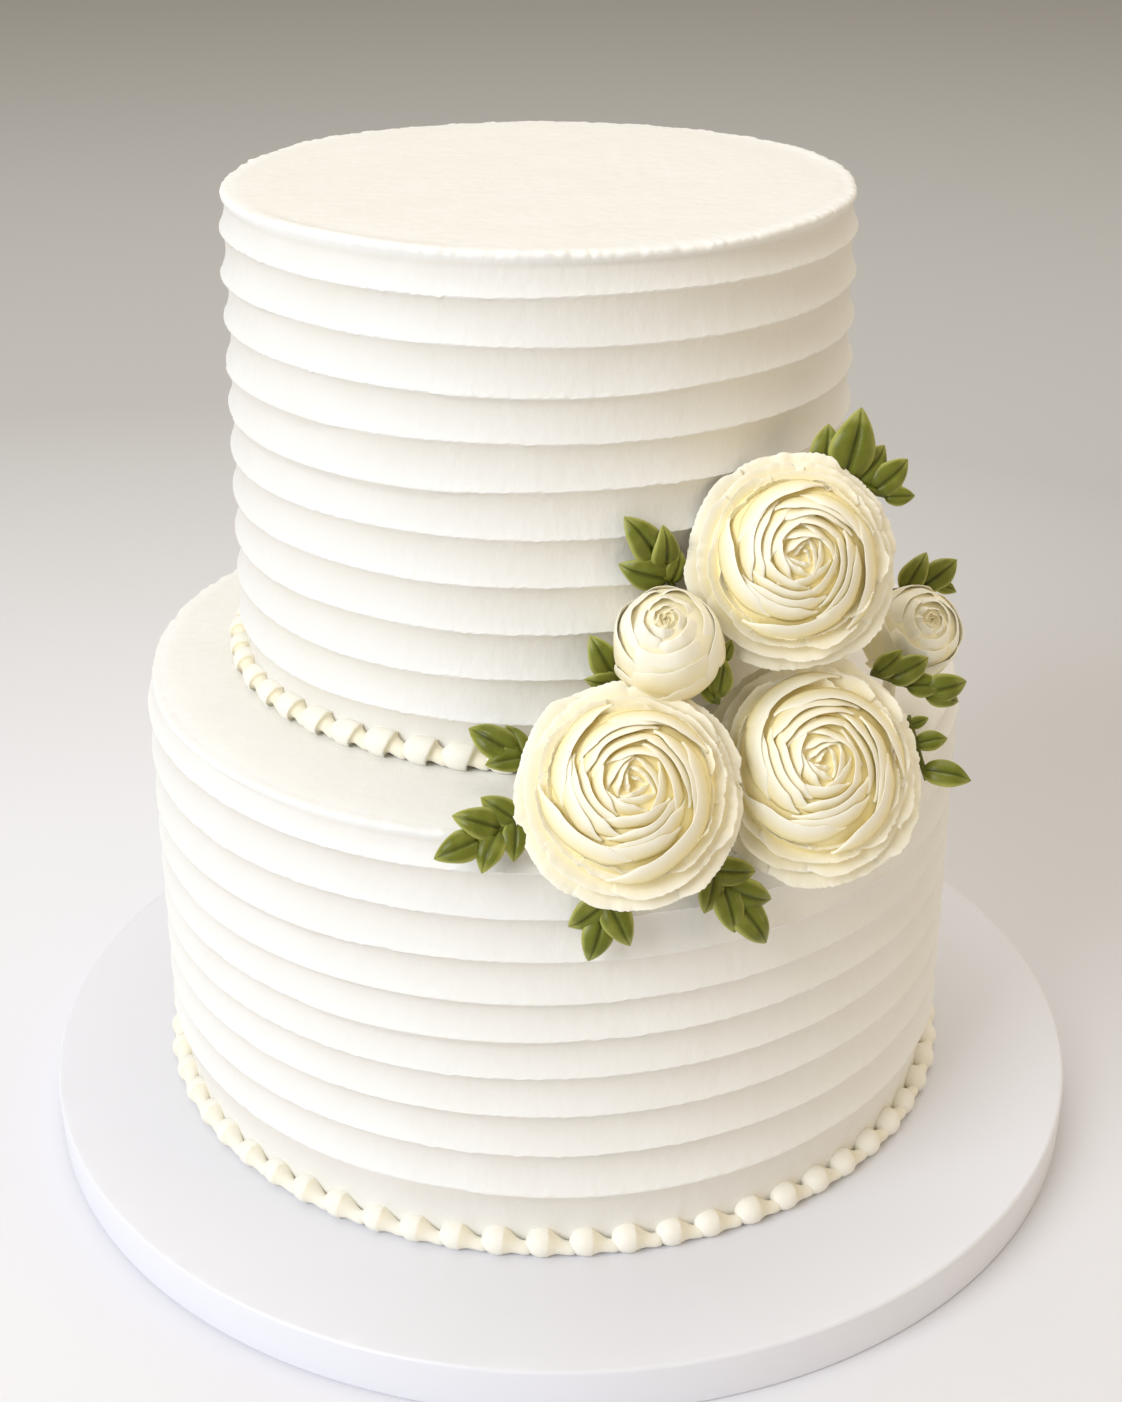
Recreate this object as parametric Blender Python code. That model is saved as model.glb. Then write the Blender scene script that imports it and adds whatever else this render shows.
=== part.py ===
"""Round two tier wedding cake on its board, with combed sides, piped borders,
three full flowers, two buds and small leaf sprigs.

Lengths are in metres. Z is up, the front of the cake faces -Y, and the origin is
the middle of the board's underside.
"""
import math

import bpy
import bmesh
from mathutils import Vector

MM = 0.001
GAP = 0.3 * MM                 # free space between one piece and the next

# board
BOARD_RADIUS = 138.5 * MM
BOARD_HEIGHT = 12.7 * MM
BOARD_EDGE = 0.7 * MM
BOARD_SEGMENTS = 64

# lower tier
LOWER_CENTRE = (-1.9 * MM, 3.2 * MM)
LOWER_RADIUS = 104.5 * MM      # crests at the reference height below
LOWER_REFERENCE = 73.0 * MM
LOWER_TAPER = 0.011            # radius lost for each metre of height gained
LOWER_TOP = 125.1 * MM
LOWER_FIRST_CREST = 117.5 * MM
LOWER_CREST_PITCH = 10.79 * MM
LOWER_CRESTS = 9
LOWER_SEGMENTS = 52
LOWER_GROOVE = 1.4 * MM
LOWER_LEAN = 2.3 * MM          # rise of the middle crests on the right side

# upper tier
UPPER_CENTRE = (-5.15 * MM, 3.1 * MM)
UPPER_RADIUS = 75.25 * MM
UPPER_REFERENCE = 188.0 * MM
UPPER_TAPER = 0.0223
UPPER_TOP = 243.6 * MM
UPPER_FIRST_CREST = 234.6 * MM
UPPER_CREST_PITCH = 10.58 * MM
UPPER_CRESTS = 10
UPPER_SEGMENTS = 44
UPPER_GROOVE = 1.3 * MM

# a groove is deepest low down, just above the next crest
GROOVE_LOW_POINT = 0.70
BORDER_RECESS = 5.6 * MM

# a wall starts in the border's recess and ends in a rounded rim; heights are shares
# of the foot or of the rim, and insets are shares of the groove
FOOT_RECESS_END = 0.40
FOOT_WALL_START = 0.62
RIM_STEPS = ((0.30, 0.9), (0.70, 0.8))
RIM_EDGE_DROP = 0.8 * MM
RIM_EDGE_INSET = 0.5
RIM_TOP_INSET = 1.3

# a top rises from its rim to a level middle; the share is of the rim's radius
CROWN_SHARE = 0.80
LOWER_CROWN_RISE = 1.9 * MM
UPPER_CROWN_RISE = 0.2 * MM

# the comb wandered up and down in half waves over the height of a tier
LOWER_DRIFT = -0.9 * MM
LOWER_DRIFT_WAVES = 2.0
UPPER_DRIFT = 0.9 * MM
UPPER_DRIFT_WAVES = 1.0

# plain drums that cut what rests on the tiers
CUT_MARGIN = GAP + 0.05 * MM
DRUM_SEGMENTS = 72
LOWER_DRUM_FOOT = -10.0 * MM
UPPER_DRUM_FOOT = 50.0 * MM
DRUM_SHOULDER_DROP = 6.0 * MM
DRUM_EDGE_DROP = 0.6 * MM
DRUM_TOP_INSET = 1.8 * MM

# bead border on the board and shell border on the lower tier
LOWER_BEADS = 63
LOWER_BEAD_RADIUS = 3.5 * MM
LOWER_RING_RADIUS = 103.6 * MM
UPPER_SHELLS = 49
UPPER_SHELL_RADIUS = 3.3 * MM
UPPER_RING_RADIUS = 74.6 * MM
BEAD_STATIONS = ((0.0, 0.60), (0.42, 1.0))
BEAD_SIDES = 5
BEAD_LIFT = 0.81               # height of a bead's middle over its radius

# flowers
PETAL_COLUMNS = 30
FLOWER_WHORLS = ((0.13, 3), (0.30, 3), (0.47, 4), (0.66, 5), (0.86, 5))
PETAL_LIFT = 1.1 * MM
PETAL_GROOVE = 1.3 * MM
PETAL_THICKNESS = 1.6 * MM
FLOWER_DEPTH = 15.0 * MM
DOME_POWER = 2.3
WHORL_SWELL = 0.06
WHORL_TURN = 1.9               # radians from one whorl's swell to the next
WHORL_GROOVE_OFFSET = 0.045
FLOWER_HOLLOW = 1.6 * MM
RIM_WAVE = 0.045
RIM_PETALS = 5.0
RIM_RUFFLES = 11.0
RIM_CURL = 1.0 * MM
RIM_CURL_TURN = 0.8
UNDER_INSET = 0.6 * MM
BACK_SHARE = 0.70
BACK_DEPTH = 3.4 * MM

# buds; (height, radius, petals) in millimetres of a bud of the reference radius
BUD_COLUMNS = 20
BUD_REFERENCE = 11.2
BUD_SWELL = 0.045
BUD_HOLLOW_HEIGHT = 8.6
BUD_OUTLINE = ((10.4, 2.4, 3), (9.0, 3.1, 3), (9.6, 5.4, 3), (7.8, 6.0, 3), (7.0, 8.8, 4), (5.2, 9.2, 4),
               (4.4, 10.8, 5), (1.2, 11.2, 5), (-2.8, 10.2, 0), (-6.6, 7.4, 0), (-11.0, 4.6, 0))

# leaves; stations are (share of the length, share of the width)
LEAF_STATIONS = ((0.0, 0.26), (0.26, 0.86), (0.56, 1.0), (0.82, 0.58))
LEAF_ARCH = 0.10
LEAF_TILT = 6.0                # degrees outwards
LEAF_THICKNESS = 0.9 * MM
LEAF_FOLD = 0.6 * MM
LEAF_WIDTH_RATIO = 0.58
STEM_RADIUS = 0.85 * MM
STEM_SIDES = 5
STEM_RINGS = 4
SHARP_ANGLE = 40.0             # degrees

CREAM = (0.86, 0.83, 0.74)
CREAM_SHELL = (0.88, 0.84, 0.72)
PETAL = (0.90, 0.85, 0.70)
LEAF = (0.20, 0.26, 0.06)
BOARD = (0.84, 0.84, 0.83)


def clear_scene():
    """Remove every object that is already in the file."""
    for old in list(bpy.data.objects):
        bpy.data.objects.remove(old, do_unlink=True)


def plain_material(name, colour, roughness):
    """Make an opaque material of one colour."""
    material = bpy.data.materials.new(name)
    material.use_nodes = True
    shader = material.node_tree.nodes["Principled BSDF"]
    shader.inputs["Base Color"].default_value = (*colour, 1.0)
    shader.inputs["Roughness"].default_value = roughness
    shader.inputs["Metallic"].default_value = 0.0
    material.diffuse_color = (*colour, 1.0)
    return material


def body(name, points, faces, material=None):
    """Put a closed mesh in the scene with its faces pointing out."""
    mesh = bpy.data.meshes.new(name)
    mesh.from_pydata([tuple(p) for p in points], [], faces)
    work = bmesh.new()
    work.from_mesh(mesh)
    bmesh.ops.recalc_face_normals(work, faces=work.faces[:])
    bmesh.ops.triangulate(work, faces=work.faces[:])
    work.to_mesh(mesh)
    work.free()
    item = bpy.data.objects.new(name, mesh)
    bpy.context.scene.collection.objects.link(item)
    if material is not None:
        mesh.materials.append(material)
    mesh.shade_smooth()
    mesh.set_sharp_from_angle(angle=math.radians(SHARP_ANGLE))
    return item


def skin(rings, first, last):
    """Join equal rings of points, closing each end with a fan round a point."""
    count = len(rings[0])
    points = [p for ring in rings for p in ring]
    faces = []
    for row in range(len(rings) - 1):
        for k in range(count):
            a = row * count + k
            b = row * count + (k + 1) % count
            faces.append((a, b, b + count, a + count))
    start = len(points) - count
    tip = len(points)
    points += [first, last]
    for k in range(count):
        faces.append((tip, (k + 1) % count, k))
        faces.append((tip + 1, start + k, start + (k + 1) % count))
    return points, faces


def turned(name, centre, outline, segments, material=None):
    """Turn an outline of (radius, height, lean) about an upright axis."""
    cx, cy = centre
    rings = []
    for radius, height, lean in outline:
        ring = []
        for k in range(segments):
            angle = 2.0 * math.pi * k / segments
            rise = lean * math.cos(angle)
            ring.append((cx + radius * math.cos(angle), cy + radius * math.sin(angle), height + rise))
        rings.append(ring)
    low = (cx, cy, outline[0][1])
    high = (cx, cy, outline[-1][1])
    points, faces = skin(rings, low, high)
    return body(name, points, faces, material)


def apply_boolean(item, operands, operation):
    """Join or cut with a collection of closed bodies, then remove those bodies."""
    group = bpy.data.collections.new("operands")
    bpy.context.scene.collection.children.link(group)
    for operand in operands:
        bpy.context.scene.collection.objects.unlink(operand)
        group.objects.link(operand)
        operand.hide_render = True
        operand.display_type = "WIRE"
    step = item.modifiers.new(operation.lower(), "BOOLEAN")
    step.operation = operation
    step.operand_type = "COLLECTION"
    step.collection = group
    step.solver = "MANIFOLD"
    bpy.context.view_layer.update()
    bpy.context.view_layer.objects.active = item
    bpy.ops.object.modifier_apply(modifier=step.name)
    for operand in operands:
        bpy.data.objects.remove(operand, do_unlink=True)
    bpy.data.collections.remove(group)


def keep_largest(item):
    """Drop loose scraps, so that the piece is one closed body."""
    work = bmesh.new()
    work.from_mesh(item.data)
    bmesh.ops.triangulate(work, faces=work.faces[:])
    todo = set(work.faces)
    islands = []
    while todo:
        stack = [todo.pop()]
        island = list(stack)
        while stack:
            face = stack.pop()
            for edge in face.edges:
                for other in edge.link_faces:
                    if other in todo:
                        todo.discard(other)
                        island.append(other)
                        stack.append(other)
        islands.append(island)
    islands.sort(key=len)
    loose = [face for island in islands[:-1] for face in island]
    bmesh.ops.delete(work, geom=loose, context="FACES")
    work.to_mesh(item.data)
    work.free()
    item.data.shade_smooth()
    item.data.set_sharp_from_angle(angle=math.radians(SHARP_ANGLE))


def tier_radius(radius, reference, taper, height):
    """Crest radius of a tier that narrows upwards."""
    return radius - taper * (height - reference)


def tier_outline(bottom, top, first, pitch, crests, radius, reference, taper, groove, lean,
                 drift, drift_waves, crown):
    """Outline of a tier from its foot to its rim.

    Crests stand at even heights, shifted by a slow wave where the comb wandered.
    Between two crests the wall falls back slowly below the upper crest, and comes
    out fast above the lower one.
    """
    heights = []
    for k in range(crests):
        wander = drift * math.sin(math.pi * k / (crests - 1) * drift_waves)
        heights.append(first - k * pitch + wander)
    last = heights[-1]
    foot_radius = tier_radius(radius, reference, taper, last) - BORDER_RECESS
    foot = last - bottom
    outline = [(foot_radius, bottom, 0.0), (foot_radius, bottom + FOOT_RECESS_END * foot, 0.0)]
    wall = tier_radius(radius, reference, taper, last) - groove
    outline.append((wall, bottom + FOOT_WALL_START * foot, 0.0))
    for k in reversed(range(crests)):
        rise = lean * math.sin(math.pi * (k + 0.6) / (crests + 0.2))
        crest = tier_radius(radius, reference, taper, heights[k])
        outline.append((crest, heights[k], rise))
        if k > 0:
            low_point = heights[k - 1] - GROOVE_LOW_POINT * (heights[k - 1] - heights[k])
            outline.append((crest - groove, low_point, rise))
    rim = tier_radius(radius, reference, taper, top)
    span = top - heights[0]
    for share, inset in RIM_STEPS:
        outline.append((rim - inset * groove, heights[0] + share * span, 0.0))
    outline.append((rim - RIM_EDGE_INSET * groove, top - RIM_EDGE_DROP, 0.0))
    outline.append((rim - RIM_TOP_INSET * groove, top, 0.0))
    outline.append((CROWN_SHARE * rim, top + crown, 0.0))
    return outline


def lower_tier(material):
    """Turn the lower tier from its outline."""
    outline = tier_outline(BOARD_HEIGHT + GAP, LOWER_TOP, LOWER_FIRST_CREST, LOWER_CREST_PITCH,
                           LOWER_CRESTS, LOWER_RADIUS, LOWER_REFERENCE, LOWER_TAPER,
                           LOWER_GROOVE, LOWER_LEAN, LOWER_DRIFT, LOWER_DRIFT_WAVES, LOWER_CROWN_RISE)
    return turned("lower_tier", LOWER_CENTRE, outline, LOWER_SEGMENTS, material)


def upper_tier(material):
    """Turn the upper tier from its outline."""
    outline = tier_outline(LOWER_TOP + LOWER_CROWN_RISE + GAP, UPPER_TOP, UPPER_FIRST_CREST,
                           UPPER_CREST_PITCH, UPPER_CRESTS, UPPER_RADIUS, UPPER_REFERENCE, UPPER_TAPER,
                           UPPER_GROOVE, 0.0, UPPER_DRIFT, UPPER_DRIFT_WAVES, UPPER_CROWN_RISE)
    return turned("upper_tier", UPPER_CENTRE, outline, UPPER_SEGMENTS, material)


def cake_clearance():
    """Plain drums one gap larger than the tiers, to cut what rests on them."""
    drums = []
    lower_top = LOWER_TOP + LOWER_CROWN_RISE
    upper_top = UPPER_TOP + UPPER_CROWN_RISE
    for centre, radius, reference, taper, low, top in (
            (LOWER_CENTRE, LOWER_RADIUS, LOWER_REFERENCE, LOWER_TAPER, LOWER_DRUM_FOOT, lower_top),
            (UPPER_CENTRE, UPPER_RADIUS, UPPER_REFERENCE, UPPER_TAPER, UPPER_DRUM_FOOT, upper_top)):
        shoulder = top - DRUM_SHOULDER_DROP
        rim = tier_radius(radius, reference, taper, top) + CUT_MARGIN
        side = [(tier_radius(radius, reference, taper, low) + CUT_MARGIN, low, 0.0),
                (tier_radius(radius, reference, taper, shoulder) + CUT_MARGIN, shoulder, 0.0),
                (rim - DRUM_EDGE_DROP, top - DRUM_EDGE_DROP, 0.0),
                (rim - DRUM_TOP_INSET, top + CUT_MARGIN, 0.0)]
        drums.append(turned("clearance", centre, side, DRUM_SEGMENTS))
    return drums


def piped_ring(name, centre, ring_radius, beads, bead_radius, floor, material):
    """Ring of beads piped in one line, each a ball that thins towards the next."""
    cx, cy = centre
    rings = []
    for bead in range(beads):
        for share, size in BEAD_STATIONS:
            angle = 2.0 * math.pi * (bead + share) / beads
            radius = bead_radius * size
            ring = []
            for k in range(BEAD_SIDES):
                turn = math.pi / 2.0 + 2.0 * math.pi * k / BEAD_SIDES
                out = ring_radius + radius * math.cos(turn)
                height = floor + radius * (BEAD_LIFT + math.sin(turn))
                ring.append((cx + out * math.cos(angle), cy + out * math.sin(angle), height))
            rings.append(ring)
    points = [p for ring in rings for p in ring]
    faces = []
    total = len(rings)
    for row in range(total):
        following = (row + 1) % total
        for k in range(BEAD_SIDES):
            side = (k + 1) % BEAD_SIDES
            faces.append((row * BEAD_SIDES + k, row * BEAD_SIDES + side,
                          following * BEAD_SIDES + side, following * BEAD_SIDES + k))
    return body(name, points, faces, material)


def axes_of(facing):
    """Right, up and outward directions of a plane that faces (azimuth, elevation) in degrees."""
    azimuth = math.radians(facing[0])
    elevation = math.radians(facing[1])
    out = Vector((math.sin(azimuth) * math.cos(elevation), -math.cos(azimuth) * math.cos(elevation),
                  math.sin(elevation)))
    right = Vector((math.cos(azimuth), math.sin(azimuth), 0.0))
    up = out.cross(right)
    return right, up, out


def foot_ring(spec, centre, right, up, columns, grow):
    """Ring where a flower's or bud's stalk ends, square to the line from its middle."""
    foot = Vector(spec["foot"]) * MM
    radius = spec["foot_radius"] * MM + grow
    axis = (foot - centre).normalized()
    side = up.cross(axis).normalized()
    side = -side if side.dot(right) < 0.0 else side
    rise = axis.cross(side)
    rise = -rise if rise.dot(up) < 0.0 else rise
    return [foot + radius * (math.cos(t) * side + math.sin(t) * rise) for t in columns]


def flower(name, spec, grow=0.0, material=None):
    """Full flower: a dome of petal whorls over a thin rim, on a cone that meets the cake.

    Each whorl is a raised edge with a groove outside it, and its radius swells once
    for every petal. The rim waves in and out and up and down.
    """
    right, up, out = axes_of(spec["facing"])
    centre = Vector(spec["centre"]) * MM
    radius = spec["radius"] * MM + grow
    turn = spec["turn"]
    columns = [2.0 * math.pi * k / PETAL_COLUMNS for k in range(PETAL_COLUMNS)]

    def place(angle, distance, height):
        return centre + distance * (math.cos(angle) * right + math.sin(angle) * up) + height * out

    def dome(share):
        return FLOWER_DEPTH * (1.0 - share ** DOME_POWER)

    rings = []
    for index, (share, petals) in enumerate(FLOWER_WHORLS):
        for offset, lift in ((0.0, PETAL_LIFT), (WHORL_GROOVE_OFFSET, -PETAL_GROOVE)):
            ring = []
            for angle in columns:
                swell = 1.0 + WHORL_SWELL * math.cos(petals * angle + turn + WHORL_TURN * index)
                here = (share + offset) * swell
                ring.append(place(angle, here * radius, dome(here) + lift + grow))
            rings.append(ring)
    rim = []
    under = []
    back = []
    for angle in columns:
        wave = math.cos(RIM_PETALS * angle + turn) + 0.5 * math.cos(RIM_RUFFLES * angle)
        edge = radius * (1.0 + RIM_WAVE * wave)
        curl = RIM_CURL * math.cos(RIM_PETALS * angle + turn + RIM_CURL_TURN)
        rim.append(place(angle, edge, curl + grow))
        under.append(place(angle, edge - UNDER_INSET, curl - PETAL_THICKNESS - grow))
        back.append(place(angle, BACK_SHARE * radius + grow, -BACK_DEPTH - grow))
    rings += [rim, under, back, foot_ring(spec, centre, right, up, columns, grow)]
    hollow = place(0.0, 0.0, FLOWER_DEPTH - FLOWER_HOLLOW + grow)
    points, faces = skin(rings, hollow, Vector(spec["foot"]) * MM)
    return body(name, points, faces, material)


def bud(name, spec, grow=0.0, material=None):
    """Closed bud: a cup of wrapped petals with a small hollow, on a tapering stalk."""
    right, up, out = axes_of(spec["facing"])
    centre = Vector(spec["centre"]) * MM
    scale = spec["radius"] / BUD_REFERENCE
    turn = spec["turn"]
    columns = [2.0 * math.pi * k / BUD_COLUMNS for k in range(BUD_COLUMNS)]
    rings = []
    for height, radius, petals in BUD_OUTLINE:
        ring = []
        for angle in columns:
            swell = 1.0 + (BUD_SWELL * math.cos(petals * angle + turn) if petals else 0.0)
            distance = radius * scale * MM * swell + grow
            lift = height * scale * MM + (grow if height > 0.0 else 0.0)
            ring.append(centre + distance * (math.cos(angle) * right + math.sin(angle) * up) + lift * out)
        rings.append(ring)
    rings.append(foot_ring(spec, centre, right, up, columns, grow))
    hollow = centre + (BUD_HOLLOW_HEIGHT * scale * MM + grow) * out
    points, faces = skin(rings, hollow, Vector(spec["foot"]) * MM)
    return body(name, points, faces, material)


def tube(name, start, end, radius, bend):
    """Straight or bowed stem with closed ends."""
    axis = (end - start).normalized()
    side = axis.cross(Vector((0.0, 0.0, 1.0))).normalized()
    rise = side.cross(axis)
    rings = []
    for k in range(STEM_RINGS):
        share = k / (STEM_RINGS - 1)
        middle = start.lerp(end, share) + bend * (4.0 * share * (1.0 - share))
        ring = []
        for j in range(STEM_SIDES):
            angle = 2.0 * math.pi * j / STEM_SIDES
            ring.append(middle + radius * (math.cos(angle) * side + math.sin(angle) * rise))
        rings.append(ring)
    points, faces = skin(rings, start, end)
    return body(name, points, faces)


def leaf(name, base, along, across, out, length):
    """Thin leaf folded along its vein, with both faces laid out alike."""
    half = 0.5 * LEAF_WIDTH_RATIO * length
    rings = []
    for share, width in LEAF_STATIONS:
        arch = LEAF_ARCH * length * 4.0 * share * (1.0 - share)
        middle = base + share * length * along + arch * out
        thick = 0.5 * LEAF_THICKNESS
        fold = LEAF_FOLD * width
        ring = [middle - half * width * across,
                middle + (thick - fold) * out,
                middle + half * width * across,
                middle - (thick + fold) * out]
        rings.append(ring)
    points, faces = skin(rings, base, base + length * along)
    return body(name, points, faces)


def sprig(name, spec, material):
    """Stem with leaves that turn away from it, joined into one solid.

    A leaf is given as (share of the way along the stem, turn from the stem's heading
    in degrees, length in millimetres). Leaves lean outwards a little.
    """
    right, up, out = axes_of(spec["facing"])
    base = Vector(spec["base"]) * MM
    heading = math.radians(spec["heading"])
    along = math.sin(heading) * right + math.cos(heading) * up
    end = base + spec["stem"] * MM * along
    stem = tube(name, base, end, STEM_RADIUS, -spec.get("bow", 0.0) * MM * out)
    leaves = []
    for share, turn, length in spec["leaves"]:
        angle = heading + math.radians(turn)
        tilt = math.radians(LEAF_TILT)
        flat = math.sin(angle) * right + math.cos(angle) * up
        direction = math.cos(tilt) * flat + math.sin(tilt) * out
        across = flat.cross(out)
        normal = across.cross(direction)
        normal = -normal if normal.dot(out) < 0.0 else normal
        start = base.lerp(end, share) - 0.5 * STEM_RADIUS * direction
        leaves.append(leaf("leaf", start, direction, across, normal, length * MM))
    apply_boolean(stem, leaves, "UNION")
    stem.data.materials.clear()
    stem.data.materials.append(material)
    return stem


FLOWERS = {
    "flower_top": {"centre": (50.0, -67.4, 175.8), "facing": (6.0, 24.0), "radius": 23.4, "turn": 0.6,
                   "foot": (42.0, -44.0, 172.0), "foot_radius": 9.0},
    "flower_left": {"centre": (14.4, -97.4, 135.4), "facing": (1.5, 37.0), "radius": 24.5, "turn": 2.2,
                    "foot": (13.0, -88.0, 118.0), "foot_radius": 9.0},
    "flower_right": {"centre": (55.6, -80.8, 130.6), "facing": (9.0, 37.0), "radius": 24.6, "turn": 4.0,
                     "foot": (53.0, -72.0, 116.0), "foot_radius": 9.0},
}

BUDS = {
    "bud_left": {"centre": (22.7, -81.2, 163.7), "facing": (-8.0, 50.0), "radius": 11.2, "turn": 0.4,
                 "foot": (21.0, -62.0, 152.0), "foot_radius": 4.0},
    "bud_right": {"centre": (83.5, -45.8, 149.6), "facing": (21.0, 40.0), "radius": 10.5, "turn": 1.7,
                  "foot": (78.0, -38.0, 118.0), "foot_radius": 4.0},
}

SPRIGS = {
    "leaves_top_right": {"facing": (6.0, 24.0), "base": (55.5, -55.8, 192.5), "heading": 112.0, "stem": 17.0,
                         "leaves": ((0.08, -105.0, 11.0), (0.36, -98.0, 16.5), (0.50, -66.0, 11.5),
                                    (0.76, -58.0, 11.0), (0.96, -20.0, 7.0)), "bow": -2.0},
    "leaves_right": {"facing": (10.0, 25.0), "base": (77.3, -39.1, 156.7), "heading": 83.0, "stem": 10.7,
                     "leaves": ((0.25, -52.0, 10.5), (0.66, -26.0, 11.0), (0.95, 30.0, 6.0))},
    "leaves_bud_right": {"facing": (15.0, 20.0), "base": (70.0, -60.6, 146.3), "heading": 115.0, "stem": 15.0,
                         "leaves": ((0.06, -58.0, 8.5), (0.30, -48.0, 10.5), (0.62, -18.0, 9.0),
                                    (0.94, -4.0, 9.0), (0.92, -34.0, 10.5))},
    "leaves_far_right": {"facing": (9.0, 37.0), "base": (77.6, -67.0, 138.5), "heading": 170.0, "stem": 15.0,
                         "leaves": ((0.14, -95.0, 5.0), (0.44, -86.0, 8.0), (0.86, -62.0, 11.0))},
    "leaves_wall": {"facing": (17.0, 4.0), "base": (26.7, -68.6, 165.9), "heading": -28.0, "stem": 13.8,
                    "leaves": ((0.95, -5.0, 12.8), (0.74, 25.0, 11.0), (0.50, 42.0, 8.0), (0.58, -40.0, 12.0),
                               (0.24, -55.0, 9.0))},
    "leaves_bud_left": {"facing": (8.0, 10.0), "base": (15.5, -76.0, 148.8), "heading": -45.0, "stem": 6.2,
                        "leaves": ((0.95, 17.0, 11.0), (0.60, -38.0, 8.5), (0.40, 40.0, 7.0))},
    "leaves_middle": {"facing": (0.0, 30.0), "base": (33.2, -84.0, 149.9), "heading": 10.0, "stem": 10.7,
                      "leaves": ((0.15, -3.0, 9.0), (0.05, -38.0, 7.0), (0.90, 10.0, 5.0))},
    "leaves_left_upper": {"facing": (-4.0, 45.0), "base": (-6.8, -82.5, 135.7), "heading": -73.0, "stem": 5.6,
                          "leaves": ((0.50, 6.0, 12.7), (0.30, 46.0, 8.6), (0.25, -34.0, 9.0))},
    "leaves_left_lower": {"facing": (1.5, 37.0), "base": (-6.6, -98.8, 131.2), "heading": -116.0,
                          "stem": 12.0,
                          "leaves": ((0.96, 2.0, 11.2), (0.58, 43.0, 11.0), (0.60, -39.0, 10.4),
                                     (0.26, 61.0, 9.5), (0.28, -60.0, 9.0))},
    "leaves_bottom_left": {"facing": (2.0, 12.0), "base": (10.3, -101.8, 113.3), "heading": -164.0,
                           "stem": 5.6,
                           "leaves": ((0.90, 0.0, 11.2), (0.22, 39.0, 11.0), (0.28, -45.0, 11.4))},
    "leaves_bottom_right": {"facing": (20.0, 14.0), "base": (31.2, -97.2, 118.3), "heading": 149.0,
                            "stem": 12.0,
                            "leaves": ((0.91, 1.0, 13.2), (0.57, -33.0, 12.2), (0.50, 25.0, 11.8),
                                       (0.17, -50.0, 10.4), (0.24, 51.0, 9.6))},
}


def build():
    """Make every piece of the cake."""
    clear_scene()
    board_skin = plain_material("board_white", BOARD, 0.42)
    cream = plain_material("buttercream", CREAM, 0.55)
    shell_cream = plain_material("border_cream", CREAM_SHELL, 0.5)
    petal = plain_material("petal_cream", PETAL, 0.5)
    green = plain_material("leaf_green", LEAF, 0.45)

    edge = BOARD_EDGE
    rim = [(BOARD_RADIUS - edge, 0.0, 0.0), (BOARD_RADIUS, edge, 0.0),
           (BOARD_RADIUS, BOARD_HEIGHT - edge, 0.0), (BOARD_RADIUS - edge, BOARD_HEIGHT, 0.0)]
    turned("board", (0.0, 0.0), rim, BOARD_SEGMENTS, board_skin)
    lower_tier(cream)
    upper_tier(cream)
    piped_ring("lower_border", LOWER_CENTRE, LOWER_RING_RADIUS, LOWER_BEADS, LOWER_BEAD_RADIUS,
               BOARD_HEIGHT + GAP, shell_cream)
    piped_ring("upper_border", UPPER_CENTRE, UPPER_RING_RADIUS, UPPER_SHELLS, UPPER_SHELL_RADIUS,
               LOWER_TOP + LOWER_CROWN_RISE + GAP, shell_cream)

    done = []
    for name, spec in FLOWERS.items():
        item = flower(name, spec, 0.0, petal)
        cutters = cake_clearance()
        cutters += [flower("clearance", FLOWERS[other], CUT_MARGIN) for other in done]
        apply_boolean(item, cutters, "DIFFERENCE")
        keep_largest(item)
        done.append(name)
    for name, spec in BUDS.items():
        item = bud(name, spec, 0.0, petal)
        cutters = cake_clearance()
        cutters += [flower("clearance", FLOWERS[other], CUT_MARGIN) for other in FLOWERS]
        apply_boolean(item, cutters, "DIFFERENCE")
        keep_largest(item)
    for name, spec in SPRIGS.items():
        item = sprig(name, spec, green)
        cutters = cake_clearance()
        cutters += [flower("clearance", FLOWERS[other], CUT_MARGIN) for other in FLOWERS]
        cutters += [bud("clearance", BUDS[other], CUT_MARGIN) for other in BUDS]
        apply_boolean(item, cutters, "DIFFERENCE")
        keep_largest(item)


build()
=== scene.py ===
"""Dresses a two tier wedding cake on its board: combed icing, piped borders,
full flowers, buds and leaf sprigs, with plain light on a pale floor.

Lengths are in metres. Z is up and the front of the cake faces -Y.
"""

import math

import bpy
import numpy as np
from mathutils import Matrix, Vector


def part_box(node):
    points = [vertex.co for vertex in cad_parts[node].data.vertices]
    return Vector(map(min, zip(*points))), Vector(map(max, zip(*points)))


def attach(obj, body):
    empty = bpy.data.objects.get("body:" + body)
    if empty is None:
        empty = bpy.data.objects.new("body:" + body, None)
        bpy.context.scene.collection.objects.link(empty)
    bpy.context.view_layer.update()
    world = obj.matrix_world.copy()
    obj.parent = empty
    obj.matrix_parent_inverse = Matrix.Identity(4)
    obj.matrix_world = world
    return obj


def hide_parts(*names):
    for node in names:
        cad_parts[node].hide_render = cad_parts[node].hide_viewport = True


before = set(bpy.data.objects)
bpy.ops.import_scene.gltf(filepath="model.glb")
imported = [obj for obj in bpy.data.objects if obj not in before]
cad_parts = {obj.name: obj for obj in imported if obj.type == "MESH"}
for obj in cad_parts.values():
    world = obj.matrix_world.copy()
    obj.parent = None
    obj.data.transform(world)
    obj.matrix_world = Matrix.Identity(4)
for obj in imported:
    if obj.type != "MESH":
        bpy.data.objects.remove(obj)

bl_info = {
    "name": "Wedding cake dressing",
    "version": (1, 0, 0),
    "blender": (4, 5, 0),
    "location": "3D View > Sidebar > Cake",
    "description": "Builds the icing, piped borders, flowers and leaves of a two tier cake",
    "category": "Object",
}

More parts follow.
